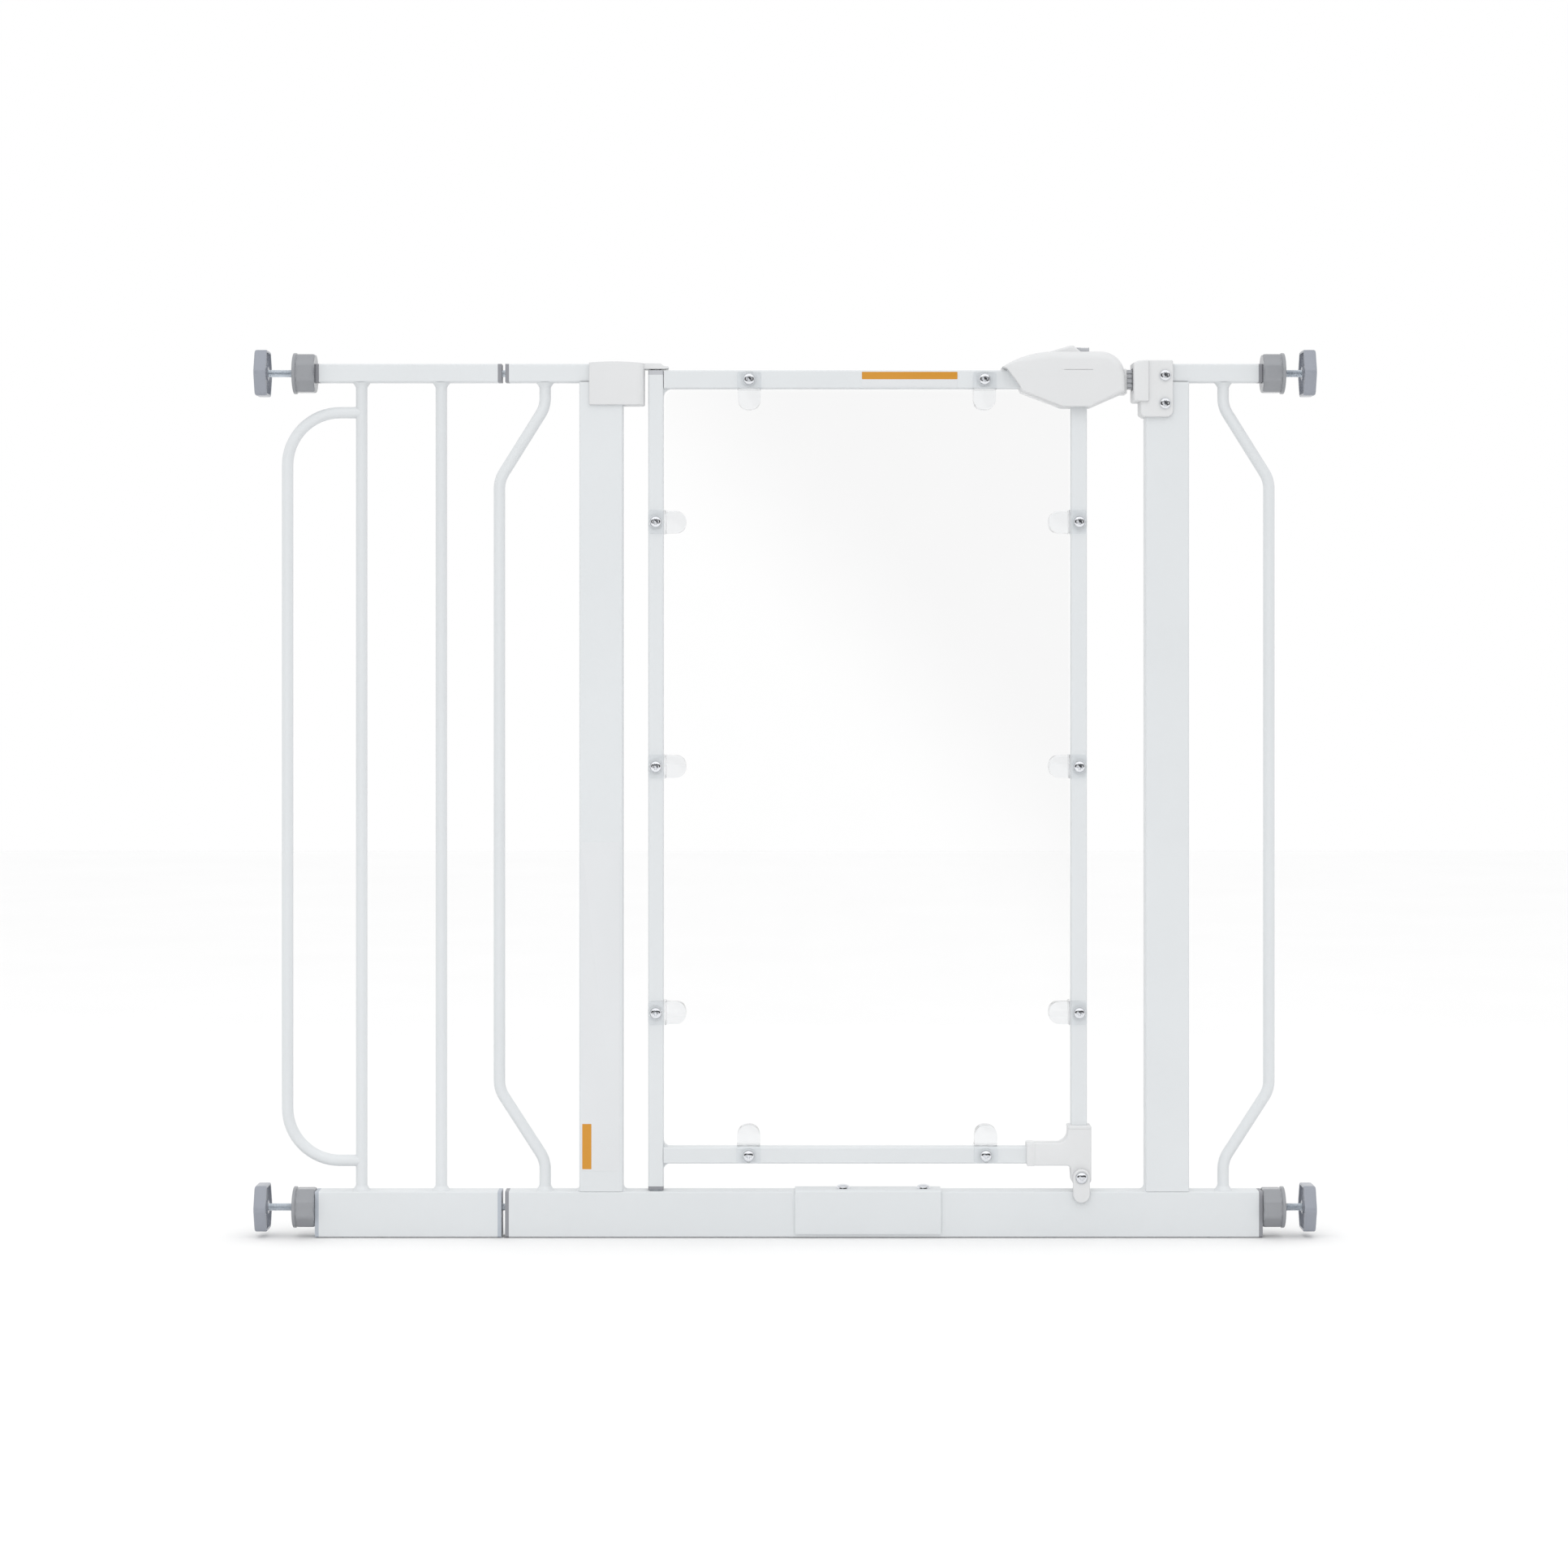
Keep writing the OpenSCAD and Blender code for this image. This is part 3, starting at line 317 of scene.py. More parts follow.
def combine(obj, others, how, sharp=32):
    """Adds the other shapes to obj, or cuts them from it, and leaves one plain mesh."""
    for k, shape in enumerate(others):
        tool = mesh_object(f"tool_{k}", [shape], obj.data.materials[0])
        change = obj.modifiers.new("change", "BOOLEAN")
        change.operation = how
        change.solver = "MANIFOLD"
        change.object = tool
        bpy.context.view_layer.update()
        seen = obj.evaluated_get(bpy.context.evaluated_depsgraph_get())
        fresh = bpy.data.meshes.new_from_object(seen)
        obj.modifiers.clear()
        obj.data = fresh
        bpy.data.objects.remove(tool)
    obj.data.shade_smooth()
    obj.data.set_sharp_from_angle(angle=math.radians(sharp))
    return obj


def soften(obj, width):
    """Rounds the sharp edges that are left where shapes were combined."""
    bevel = obj.modifiers.new("soften", "BEVEL")
    bevel.width = width * MM
    bevel.segments = 3
    bevel.limit_method = "ANGLE"
    bevel.angle_limit = math.radians(50)
    bevel.harden_normals = True


def keep(obj, body, slot, *nodes):
    """Says what the piece rides on and which CAD nodes it stands for. The slot argument is not used."""
    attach(obj, body)
    if nodes:
        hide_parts(*nodes)
    return obj


def piece(name, shapes, slot, body, *nodes, sharp=32, look=None):
    """A finished piece from shapes. look is a material other than the slot's own."""
    return keep(mesh_object(name, shapes, look or FINISH[slot], sharp), body, slot, *nodes)


# ---------- materials ----------


def linear(r, g, b):
    """A colour given as 0 to 255, turned to linear light."""
    out = []
    for c in (r / 255, g / 255, b / 255):
        out.append(c / 12.92 if c <= 0.04045 else ((c + 0.055) / 1.055) ** 2.4)
    return (*out, 1.0)


class Shader:
    """A node material, with helpers that vary it by noise."""

    def __init__(self, name):
        self.material = bpy.data.materials.new(name)
        self.material.use_nodes = True
        self.tree = self.material.node_tree
        self.main = self.tree.nodes["Principled BSDF"]
        self.coords = self.add("ShaderNodeTexCoord")

    def add(self, kind, **settings):
        node = self.tree.nodes.new(kind)
        for key, value in settings.items():
            setattr(node, key, value)
        return node

    def link(self, source, target):
        self.tree.links.new(source, target)

    def noise(self, scale, detail=2.0, stretch=(1, 1, 1)):
        """Noise in the object's own coordinates; scale is in waves a metre."""
        mapping = self.add("ShaderNodeMapping")
        mapping.inputs["Scale"].default_value = stretch
        self.link(self.coords.outputs["Object"], mapping.inputs["Vector"])
        node = self.add("ShaderNodeTexNoise")
        node.inputs["Scale"].default_value = scale
        node.inputs["Detail"].default_value = detail
        self.link(mapping.outputs["Vector"], node.inputs["Vector"])
        return node.outputs["Fac"]

    def vary_colour(self, source, dark, light):
        """The surface's colour runs from dark to light with the source."""
        ramp = self.add("ShaderNodeValToRGB")
        ramp.color_ramp.elements[0].position = 0.3
        ramp.color_ramp.elements[1].position = 0.7
        ramp.color_ramp.elements[0].color = dark
        ramp.color_ramp.elements[1].color = light
        self.link(source, ramp.inputs["Fac"])
        self.link(ramp.outputs["Color"], self.main.inputs["Base Color"])

    def vary_roughness(self, source, low, high):
        """The surface's roughness runs from low to high with the source."""
        span = self.add("ShaderNodeMapRange")
        span.inputs["From Min"].default_value = 0.3
        span.inputs["From Max"].default_value = 0.7
        span.inputs["To Min"].default_value = low
        span.inputs["To Max"].default_value = high
        self.link(source, span.inputs["Value"])
        self.link(span.outputs["Result"], self.main.inputs["Roughness"])

    def bumps(self, layers):
        """Bump layers as (height source, distance in mm, strength)."""
        last = None
        for source, distance, strength in layers:
            bump = self.add("ShaderNodeBump")
            bump.inputs["Distance"].default_value = distance * MM
            bump.inputs["Strength"].default_value = strength
            self.link(source, bump.inputs["Height"])
            if last:
                self.link(last.outputs["Normal"], bump.inputs["Normal"])
            last = bump
        self.link(last.outputs["Normal"], self.main.inputs["Normal"])


def shade(colour, factor):
    """The colour made darker or lighter."""
    return (*(min(1.0, c * factor) for c in colour[:3]), 1.0)


def painted(name, colour):
    """Powder coat: a soft orange peel, with fine grain on it."""
    s = Shader(name)
    s.vary_colour(s.noise(9, 3), shade(colour, 0.985), shade(colour, 1.01))
    s.vary_roughness(s.noise(60, 3), 0.34, 0.46)
    s.bumps([(s.noise(520, 2), 0.05, 0.35), (s.noise(3200, 1), 0.02, 0.2)])
    s.main.inputs["Specular IOR Level"].default_value = 0.4
    return s.material


def moulded(name, colour, low=0.38, high=0.52, grain=0.3):
    """Moulded plastic with a fine eroded grain and faint flow marks."""
    s = Shader(name)
    s.vary_colour(s.noise(14, 4, (1, 1, 0.4)), shade(colour, 0.98), shade(colour, 1.015))
    s.vary_roughness(s.noise(90, 3), low, high)
    s.bumps([(s.noise(2600, 2), 0.03, grain), (s.noise(160, 2), 0.03, 0.15)])
    s.main.inputs["Specular IOR Level"].default_value = 0.4
    return s.material


def metal(name, colour, low, high, stretch=(1, 1, 1), grain=0.25):
    """Plated steel: slight clouding, and fine drawn marks along one way."""
    s = Shader(name)
    s.main.inputs["Metallic"].default_value = 1.0
    s.vary_colour(s.noise(120, 3), shade(colour, 0.93), shade(colour, 1.04))
    s.vary_roughness(s.noise(400, 3, stretch), low, high)
    s.bumps([(s.noise(1800, 2, stretch), 0.015, grain)])
    return s.material


def clear(name, colour, low, high, ior=1.49, waves=0.0):
    """Clear acrylic. Light on its way to what is behind it passes straight through, as in a thin pane."""
    s = Shader(name)
    s.main.inputs["Transmission Weight"].default_value = 1.0
    s.main.inputs["IOR"].default_value = ior
    s.vary_colour(s.noise(25, 3), shade(colour, 0.995), colour)
    s.vary_roughness(s.noise(40, 4), low, high)
    if waves:
        s.bumps([(s.noise(9, 1), waves, 0.5)])
    path = s.add("ShaderNodeLightPath")
    through = s.add("ShaderNodeBsdfTransparent")
    through.inputs["Color"].default_value = shade(colour, 1.03)
    mix = s.add("ShaderNodeMixShader")
    either = s.add("ShaderNodeMath", operation="MAXIMUM")
    s.link(path.outputs["Is Shadow Ray"], either.inputs[0])
    s.link(path.outputs["Is Diffuse Ray"], either.inputs[1])
    s.link(either.outputs[0], mix.inputs["Fac"])
    s.link(s.main.outputs["BSDF"], mix.inputs[1])
    s.link(through.outputs["BSDF"], mix.inputs[2])
    s.link(mix.outputs["Shader"], s.tree.nodes["Material Output"].inputs["Surface"])
    return s.material


FINISH = {
    "powder_white": painted("Powder_white", linear(208, 211, 213)),
    "moulded_white": moulded("Moulded_white", linear(209, 210, 211)),
    "moulded_grey": moulded("Moulded_grey", linear(142, 144, 148), 0.16, 0.26, 0.12),
    "cap_grey": moulded("Cap_grey", linear(137, 138, 143)),
    "zinc": metal("Zinc_plate", linear(226, 233, 240), 0.42, 0.55),
    "chrome": metal("Bright_plate", linear(226, 228, 232), 0.05, 0.14, (1, 1, 6), 0.12),
    "clear_sheet": clear("Clear_sheet", (1.0, 1.0, 1.0, 1.0), 0.0, 0.012, ior=1.72),
    "clear_clip": clear("Clear_clip", (0.945, 0.95, 0.955, 1.0), 0.04, 0.1, waves=0.05),
    "label_white": moulded("Label_white", linear(209, 211, 213), 0.28, 0.36, 0.1),
    "label_orange": moulded("Label_orange", linear(196, 136, 42), 0.28, 0.36, 0.1),
}
PAD_GREY = moulded("Pad_grey", linear(144, 148, 157), 0.16, 0.26, 0.12)
CAP_PALE = moulded("Cap_pale", linear(171, 177, 185))
BOLT_GREY = moulded("Bolt_grey", linear(178, 180, 184))


def finish_cad_nodes():
    """Every CAD node gets its slot's material, but for two that have another shade of grey."""
    for part in frame["record"]["subparts"]:
        mesh = frame["nodes"][part["node"]].data
        mesh.materials.clear()
        mesh.materials.append(FINISH[part["material_slot"]])
    frame["nodes"]["ext_bottom_caps"].data.materials[0] = CAP_PALE
    frame["nodes"]["upper_plug"].data.materials[0] = BOLT_GREY


# ---------- frame and extension ----------


def stepped_bar(side):
    """A round bar that steps out round the hand nut's level and back."""
    node = f"curved_bar_{side}"
    b = Box(node)
    weld_r = BAR_R + WELD
    bend = 26
    inner, outer = (b.x1 - weld_r, b.x0 + BAR_R) if side == "left" else (b.x0 + weld_r, b.x1 - BAR_R)
    heights = (b.z1, b.z1 - 21, b.z1 - 85, b.z0 + 88, b.z0 + 26, b.z0)
    path = list(zip((inner, inner, outer, outer, inner, inner), heights))
    path = fillet(path, [0, bend, bend, bend, bend, 0], 10)
    piece(f"Stepped_bar_{side}", [swept(path, BAR_R, WELD)], "powder_white", "frame", node)


def bow():
    """The round bar bent out from the extension's outer upright and back."""
    b = Box("ext_bow")
    bend = 46
    x, low, high = b.x0 + BAR_R, b.z0 + BAR_R, b.z1 - BAR_R
    path = fillet([(b.x1, high), (x, high), (x, low), (b.x1, low)], [0, bend, bend, 0], 16)
    piece("Extension_bow", [swept(path, BAR_R, 0)], "powder_white", "extension", "ext_bow")


def upright_bar(node):
    """A straight round bar of the extension, flared at both welds."""
    b = Box(node)
    steps = [WELD * s for s in WELD_RINGS]
    low = [(b.z0 + d, weld_radius(d, BAR_R, WELD)) for d in steps]
    high = [(b.z1 - d, weld_radius(d, BAR_R, WELD)) for d in reversed(steps)]
    shape = lathe(low + high, (b.x, 0, 0), "z", 28)
    piece(f"Upright_{node[4:]}", [shape], "powder_white", "extension", node)


def hinge_bracket():
    """Moulded bracket over the hinge post's top, with an arm over the door's stile."""
    b = Box("hinge_bracket")
    arm_length, arm_half, edge, crown_r, over = 21, 7.5, 0.6, 240, 3
    body_right = b.x1 - arm_length
    corners = fillet(rectangle(b.x0, body_right, b.y0, b.y1), [1.2, 6, 6, 1.2], 8)
    body = slab(corners, b.z0, b.z1 + 2 * over, edge, 0, "xy")
    bracket = mesh_object("Hinge_bracket_body", [body], FINISH["moulded_white"])
    crown = arc(b.x0 + 21.4, b.z1 - crown_r, crown_r, 83, 97, 20)
    crown += [(b.x0 - 2 * over, b.z0 - over), (body_right + 2 * over, b.z0 - over)]
    combine(bracket, [slab(crown, b.y0 - over, b.y1 + over)], "INTERSECT")
    low, high, root = b.z0 + 31.4, b.z1 - 1, body_right - 4
    tip = [(root, low), (b.x1 - 4, low + 0.1), (b.x1, low + 0.6), (b.x1, low + 2.2),
           (b.x1 - 4.4, low + 3.2), (b.x1 - 6.8, high - 0.1), (root, high + 0.1)]
    tip = fillet(tip, [0, 1, 0, 0, 1, 0, 0], 4)
    combine(bracket, [slab(tip, -arm_half, arm_half, edge, edge)], "UNION")
    soften(bracket, 0.7)
    keep(bracket, "frame", "moulded_white", "hinge_bracket")


def catch_block(side, b):
    """The raised block that takes the bolt, for the half on one side."""
    width, half, round_edge, small_edge = 13.2, 16, 2.2, 1.0
    right, low = b.x0 + width, b.z0 + 13.4
    points = [(b.x0, low), (right, low), (right, b.z1), (b.x0 + 3.9, b.z1 - 0.7), (b.x0, b.z1 - 2.4)]
    outline = anticlockwise(fillet(points, [2.4, 1.4, 1.4, 0, 0]))
    edges = [round_edge if x < b.x0 + 6 else small_edge for x, z in outline]
    return side_slab(outline, side, half, edges)


def side_slab(outline, side, half, edge):
    """A slab from the middle plane out to half on one side, its outer edge rounded."""
    if side < 0:
        return slab(outline, -half, 0, edge, 0, steps=5)
    return slab(outline, 0, half, 0, edge, steps=5)


def catch():
    """The catch's two halves, each a plate with a raised block, and the screws through them."""
    half, pocket_half = 13.5, 7.4
    bolt = Box("latch_bolt")
    for side, node in ((-1, "catch_front"), (1, "catch_rear")):
        b = Box(node)
        left = b.x0 + 6.3
        points = [(left, b.z0 + 2.5), (left + 3.5, b.z0), (b.x1, b.z0), (b.x1, b.z1), (left, b.z1)]
        outline = fillet(points, [2.5, 2.5, 5.5, 1.5, 1.5], 8)
        name = f"Catch_{'front' if side < 0 else 'rear'}_shell"
        shell = mesh_object(name, [side_slab(outline, side, half, 1.1)], FINISH["moulded_white"])
        combine(shell, [catch_block(side, b)], "UNION")
        pocket = rectangle(b.x0 - 2, b.x0 + 9.5, bolt.z0 - 1.4, bolt.z0 + 17.8)
        combine(shell, [slab(pocket, -pocket_half, pocket_half)], "DIFFERENCE")
        keep(shell, "frame", "moulded_white", node)
    s = Box("catch_screws")
    shapes = []
    for z in (s.z0 + HEAD_R, s.z1 - HEAD_R):
        shapes += [dome_head(s.x, -half, z), cap_nut(s.x, half, z, HEAD_HIGH)]
    piece("Catch_screw_heads", shapes, "chrome", "frame", "catch_screws")


def joiner_bolts():
    """Two plain domed bolt heads on top of the floor rail's channel."""
    b = Box("joiner_bolts")
    radius, rim, dome, steps = 6, 1.1, 2.4, 8
    dome_r = radius - 0.2
    turns = [PI / 2 * k / steps for k in range(1, steps)]
    profile = [(-0.3, radius), (0.5, radius), (rim, dome_r)]
    profile += [(rim + dome * math.sin(a), dome_r * math.cos(a)) for a in turns]
    foot = b.z1 - rim - dome
    shapes = [lathe(profile, (x, 0, foot), "z", 40) for x in (b.x0 + radius, b.x1 - radius)]
    piece("Joiner_bolt_heads", shapes, "chrome", "frame", "joiner_bolts")


def rear_bracket_screws():
    """The two screws that hold the hinge bracket from behind."""
    b = Box("hinge_bracket_screws")
    shapes = [dome_head(b.x, 12.5, z, way=1) for z in (b.z0 + HEAD_R, b.z1 - HEAD_R)]
    piece("Bracket_screw_heads", shapes, "chrome", "frame", "hinge_bracket_screws")


def post_label():
    """A blank film label with one plain colour block. Its back lies 0.1 inside the post's face."""
    b = Box("post_sticker")
    film = fillet(rectangle(b.x0, b.x1, b.z0, b.z1), 1.5)
    piece("Post_label", [slab(film, b.y0, -9.9, 0.04)], "label_white", "frame", "post_sticker")
    block = fillet(rectangle(b.x0 + 1, b.x0 + 9, b.z0 + 1.5, b.z0 + 41), 0.5)
    block = slab(block, b.y0 - 0.03, b.y0 + 0.05)
    piece("Post_label_block", [block], "label_orange", "frame")


# ---------- wall spindles ----------


def pad_rim(a, along, radius):
    """A pad's outline: six soft flats, with one corner to the front. Only the rim takes it."""
    hub, nominal, sharpness = 12, 20, 26
    if radius < hub:
        return radius
    u, v = math.cos(a), math.sin(a)
    flats = [(0.0, 1.0, 19.9), (0.0, -1.0, 19.9)]
    flats += [(i * 0.927, j * 0.3746, 18.7) for i in (-1, 1) for j in (-1, 1)]
    share = sum(max(0.0, (u * p + v * q) / reach) ** sharpness for p, q, reach in flats)
    return radius / nominal * share ** (-1 / sharpness)


def faceted(a, along, radius):
    """A hand nut's eight flats, each a little hollow; the flange and the hub stay round."""
    grip, hub, across, hollow = 15.4, 12, 0.945, 0.25
    if not 0.1 < abs(along) < grip or radius < hub:
        return radius
    turn = (a + PI / 8) % (PI / 4) - PI / 8
    return min(radius, radius * across / math.cos(turn) - hollow * math.cos(4 * turn) ** 2)


def pad_profile():
    """A wall pad as (distance from the wall, radius): its face, rim, hollow back and hub."""
    profile = [(0, 18.3), (0.2, 19), (0.8, 19.7), (1.8, 20)]
    profile += [(9.8, 20), (10.5, 19.8), (10.8, 19.3), (10.8, 18.5), (10.5, 18)]
    profile += [(8.8, 17.7), (8.5, 17.3), (8.4, 16), (8.3, 8), (8.5, 6.8)]
    return profile + [(9, 6.1), (10.4, 5.9), (10.7, 5.5), (10.7, 3.3)]


def nut_profile():
    """A hand nut as (distance from its inner end, radius): its end, grip, groove, flange and mouth."""
    profile = [(0, 13), (0, 16.2), (0.3, 16.9), (1, 17.4)]
    profile += [(d, 17.6) for d in (2, 4, 6, 9, 12, 14.4)]
    profile += [(15.3, 17.5), (15.7, 16.9), (16.3, 16.9), (16.4, 17.6), (16.7, 17.9)]
    profile += [(17, 18), (18.7, 18), (19.1, 17.8), (19.2, 17.4)]
    return profile + [(19.2, 9), (18.4, 8.4), (18.4, 3.5)]


def spindle(name, outwards):
    """Pad, threaded rod and hand nut; outwards is -1 at the left wall and 1 at the right."""
    pad, rod, nut = Box(f"{name}_pad"), Box(f"{name}_rod"), Box(f"{name}_nut")
    face = pad.x0 if outwards < 0 else pad.x1
    cup = lathe([(-outwards * d, r) for d, r in pad_profile()], (face, 0, pad.z), "x", 96, pad_rim)
    piece(f"Pad_{name}", [cup], "moulded_grey", f"{name}_spindle", f"{name}_pad", look=PAD_GREY)
    screw = thread(rod.x0, rod.x1, rod.z, 3.35)
    piece(f"Rod_{name}", [screw], "zinc", f"{name}_spindle", f"{name}_rod", sharp=50)
    start = nut.x1 if outwards < 0 else nut.x0
    knob = lathe([(outwards * d, r) for d, r in nut_profile()], (start, 0, nut.z), "x", 128, faceted)
    piece(f"Nut_{name}", [knob], "moulded_grey", f"{name}_wheel", f"{name}_nut", sharp=38)


# ---------- door ----------


def handle_outline(b):
    """The handle's side view, anticlockwise, with the radius of its front edge at each point."""
    right, low, top = b.x1 - 2, b.z0, b.z1 - 5.4
    corner_r, back_r = 21, 83
    lip_edge, round_edge, nose_edge, low_edge = 3.0, 8.0, 0.6, 1.0
    nose = [(b.x0 + 4.6, low + 33.1), (b.x0 + 15.4, low + 18.8), (b.x0 + 17.4, low + 13.8)]
    lower = [nose[-1], (b.x0 + 52.9, low), (b.x0 + 77.9, low), (right, low + 11.6)]
    parts = [([(right, low + 12.8)], lip_edge)]
    parts.append((arc(right - corner_r, top - corner_r, corner_r, 0, 90, 14), round_edge))
    parts.append((arc(b.x1 - 63, top - back_r, back_r, 90, 123.5, 18), round_edge))
    parts.append((nose, nose_edge))
    parts.append((fillet(lower, [0, 9, 9, 0], 5)[1:-1], low_edge))

    def most(p):
        """The largest edge radius that the narrow nose leaves room for."""
        return 0.5 + 0.28 * (p[0] - b.x0)

    outline = [p for points, radius in parts for p in points]
    edges = [min(radius, most(p)) for points, radius in parts for p in points]
    for smoothing in range(2):
        edges = [(edges[i - 1] + edges[i] + edges[(i + 1) % len(edges)]) / 3 for i in range(len(edges))]
    return outline, [min(r, most(p)) for r, p in zip(edges, outline)]


def handle_side(b, side, outline, edges):
    """Rings from the joint between the casing's halves out to one slightly crowned face."""
    centre = Vector((b.x0 + 62, b.z0 + 24))
    face = 16.4
    rings = [[(x, side * 0.5, z) for x, z in outline]]
    for k in range(9):
        a = PI / 2 * k / 8
        rim = inset(outline, [r * (1 - math.cos(a)) for r in edges])
        rings.append([(x, side * (face - r + r * math.sin(a)), z) for (x, z), r in zip(rim, edges)])
    for share, rise in ((0.86, 0.22), (0.7, 0.4), (0.5, 0.52), (0.3, 0.58), (0.1, 0.6)):
        scaled = [centre + (Vector(p) - centre) * share for p in rim]
        rings.append([(q.x, side * (face + rise), q.y) for q in scaled])
    return rings


def handle_cuts(b):
    """What is cut from the casing: the bolt's mouth, the button's well and slot, and the fine front seam."""
    bolt, button = Box("latch_bolt"), Box("latch_button")
    left = button.x0 - 6
    mouth = rectangle(bolt.x0 - 7, b.x1 + 1, bolt.z0 - 0.5, bolt.z1 + 0.6)
    well = rectangle(left, left + 25, bolt.z1 - 1, button.z1 - 2.2)
    slot = rectangle(left, b.x0 + 75, button.z1 - 3.7, button.z1 + 0.3)
    seam = rectangle(b.x0 + 54, b.x0 + 79, b.z0 + 31.7, b.z0 + 32.2)
    return [slab(mouth, -6.5, 6.5), slab(well, -3.6, 3.6), slab(slot, -6.1, 6.1), slab(seam, -18, -16.3)]


def handle():
    """The latch casing: two halves with a fine groove between them, and a hood for the button."""
    b = Box("handle_front")
    smooth = 40
    outline, edges = handle_outline(b)
    groove = [[(x, 0.0, z) for x, z in inset(outline, [0.45] * len(outline))]]
    rings = list(reversed(handle_side(b, -1, outline, edges))) + groove + handle_side(b, 1, outline, edges)
    shell = mesh_object("Handle_shell", [loft(rings)], FINISH["moulded_white"], smooth)
    lip = fillet(rectangle(b.x1 - 8, b.x1, b.z0 + 11.2, b.z0 + 33.4), 1.5)
    combine(shell, [hood(b), slab(lip, -9, 9, 1.2, 1.2)], "UNION", smooth)
    combine(shell, handle_cuts(b), "DIFFERENCE", smooth)
    keep(shell, "door", "moulded_white", "handle_front", "handle_rear")


def hood(b):
    """The small roof over the button."""
    top = b.z1
    back = [(b.x0 + 38, top - 9), (b.x0 + 41, top - 5.9), (b.x0 + 49, top - 3.2), (b.x0 + 57, top - 0.9),
            (b.x0 + 60.5, top), (b.x0 + 63, top), (b.x0 + 69.8, top - 5.6), (b.x0 + 69.8, top - 9)]
    return slab(fillet(back, [0, 3, 6, 6, 3, 0, 0, 0], 5), -8.5, 8.5, 2.2, 2.2)


def handle_screws():
    """The three small screws in the casing's rear."""
    b = Box("handle_screws")
    spots = ((b.x0 + 3, b.z1 - 4.5), (b.x1 - 3, b.z1 - 3), (b.x1 - 16, b.z0 + 3))
    shapes = [dome_head(x, 16.6, z, 3.4, 1.4, 1, 32) for x, z in spots]
    piece("Handle_screw_heads", shapes, "chrome", "door", "handle_screws")


def bolt_section(b, high, ribs=4, groove=1.0):
    """The bolt's end view in (y, z), with ribs across its front."""
    front, back = b.y0, b.y1
    pitch = (high - b.z0) / ribs
    outline = [(back, b.z0), (back, high)]
    for k in range(ribs):
        top = high - k * pitch
        outline += [(front, top), (front, top - pitch + 1.2), (front + groove, top - pitch + 1.0),
                    (front + groove, top - pitch + 0.2)]
    outline[-1] = (front + groove, b.z0)
    return outline


def latch_bolt():
    """The ribbed bolt, and the carriage that joins it to the button."""
    b = Box("latch_bolt")
    bolt = slab(bolt_section(b, b.z0 + 16.4), b.x1 - 31, b.x1, 0, 0.4, "yz")
    carriage = slab(rectangle(b.x0, b.x0 + 29, b.z1 - 4.2, b.z1), -5, 5, 0.5, 0.5)
    piece("Latch_bolt_ribbed", [bolt, carriage], "cap_grey", "latch", "latch_bolt", look=BOLT_GREY)


def latch_button():
    """The button that slides the bolt: a grooved cap on a riser."""
    b = Box("latch_button")
    low = b.z1 - 3.4
    grooves, spacing, depth = 4, 1.6, 0.45
    outline = [(b.x0 + 0.2, b.z1)]
    for k in range(grooves):
        x = b.x0 + 5.6 + spacing * k
        outline += [(x, b.z1), (x + 0.3, b.z1 - depth), (x + 0.8, b.z1 - depth), (x + 1.1, b.z1)]
    outline += [(b.x1, b.z1), (b.x1, low), (b.x0 + 4.5, low)]
    cap = slab(outline, b.y0, b.y1, 0.3, 0.3)
    riser = slab(rectangle(b.x0 + 4, b.x0 + 11.8, b.z0, low + 1), -3, 3, 0.3, 0.3)
    piece("Latch_button_ribbed", [cap, riser], "moulded_grey", "latch", "latch_button", look=BOLT_GREY)


def latch_spring():
    """The coil behind the bolt, on a mesh of its own."""
    b = Box("latch_spring")
    wire, turns, steps, sides = 0.5, 3, 24, 10
    coil = (b.z1 - b.z0) / 2 - wire
    start, length = b.x0 + wire, b.x1 - b.x0 - 2 * wire
    rings = []
    for i in range(turns * steps + 1):
        a = 2 * PI * i / steps
        x = start + length * i / (turns * steps)
        ring = []
        for j in range(sides):
            t = 2 * PI * j / sides
            r = coil + wire * math.cos(t)
            ring.append((x + wire * math.sin(t), r * math.cos(a), b.z + r * math.sin(a)))
        rings.append(ring)
    spring = piece("Latch_spring_coil", [loft(rings)], "zinc", "door", "latch_spring")
    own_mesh(spring)


def corner_bracket():
    """Moulded elbow where the latch stile meets the bottom rail, with a collar at each end."""
    b = Box("corner_bracket")
    half, collar_half, edge = 9.2, 9.6, 0.9
    left, foot = b.x1 - 20.4, b.z0 + 0.5
    arm_low, arm_high = b.z0 + 16.2, b.z1 - 15.3
    points = [(b.x1, b.z0 + 3), (b.x1, b.z1), (left, b.z1), (left, arm_high), (b.x0, arm_high),
              (b.x0, arm_low), (left + 2.4, arm_low), (left + 3.2, b.z0 + 3), (left + 4.6, foot),
              (b.x1 - 1.6, foot)]
    outline = fillet(points, [3, 2.5, 2.5, 9, 1.6, 2.5, 4, 3, 1.5, 1.5], 8)
    bracket = mesh_object("Corner_elbow", [slab(outline, -half, half, 1.2, 1.2)], FINISH["moulded_white"])
    cuff = rectangle(left - 0.25, b.x1, b.z1 - 3.3, b.z1 - 0.1)
    sleeve = rectangle(b.x0 + 0.1, b.x0 + 7.5, arm_low - 0.25, arm_high + 0.25)
    collars = [slab(fillet(c, 1.4), -collar_half, collar_half, edge, edge) for c in (cuff, sleeve)]
    tab = Box("stop_tab")
    boss = lathe([(-10.4, 6.0), (-10.2, 6.5), (-9, 6.7), (-8, 6.7)], (tab.x, 0, tab.z1 - 7.3), "y", 40)
    combine(bracket, [*collars, boss], "UNION")
    keep(bracket, "door", "moulded_white", "corner_bracket")


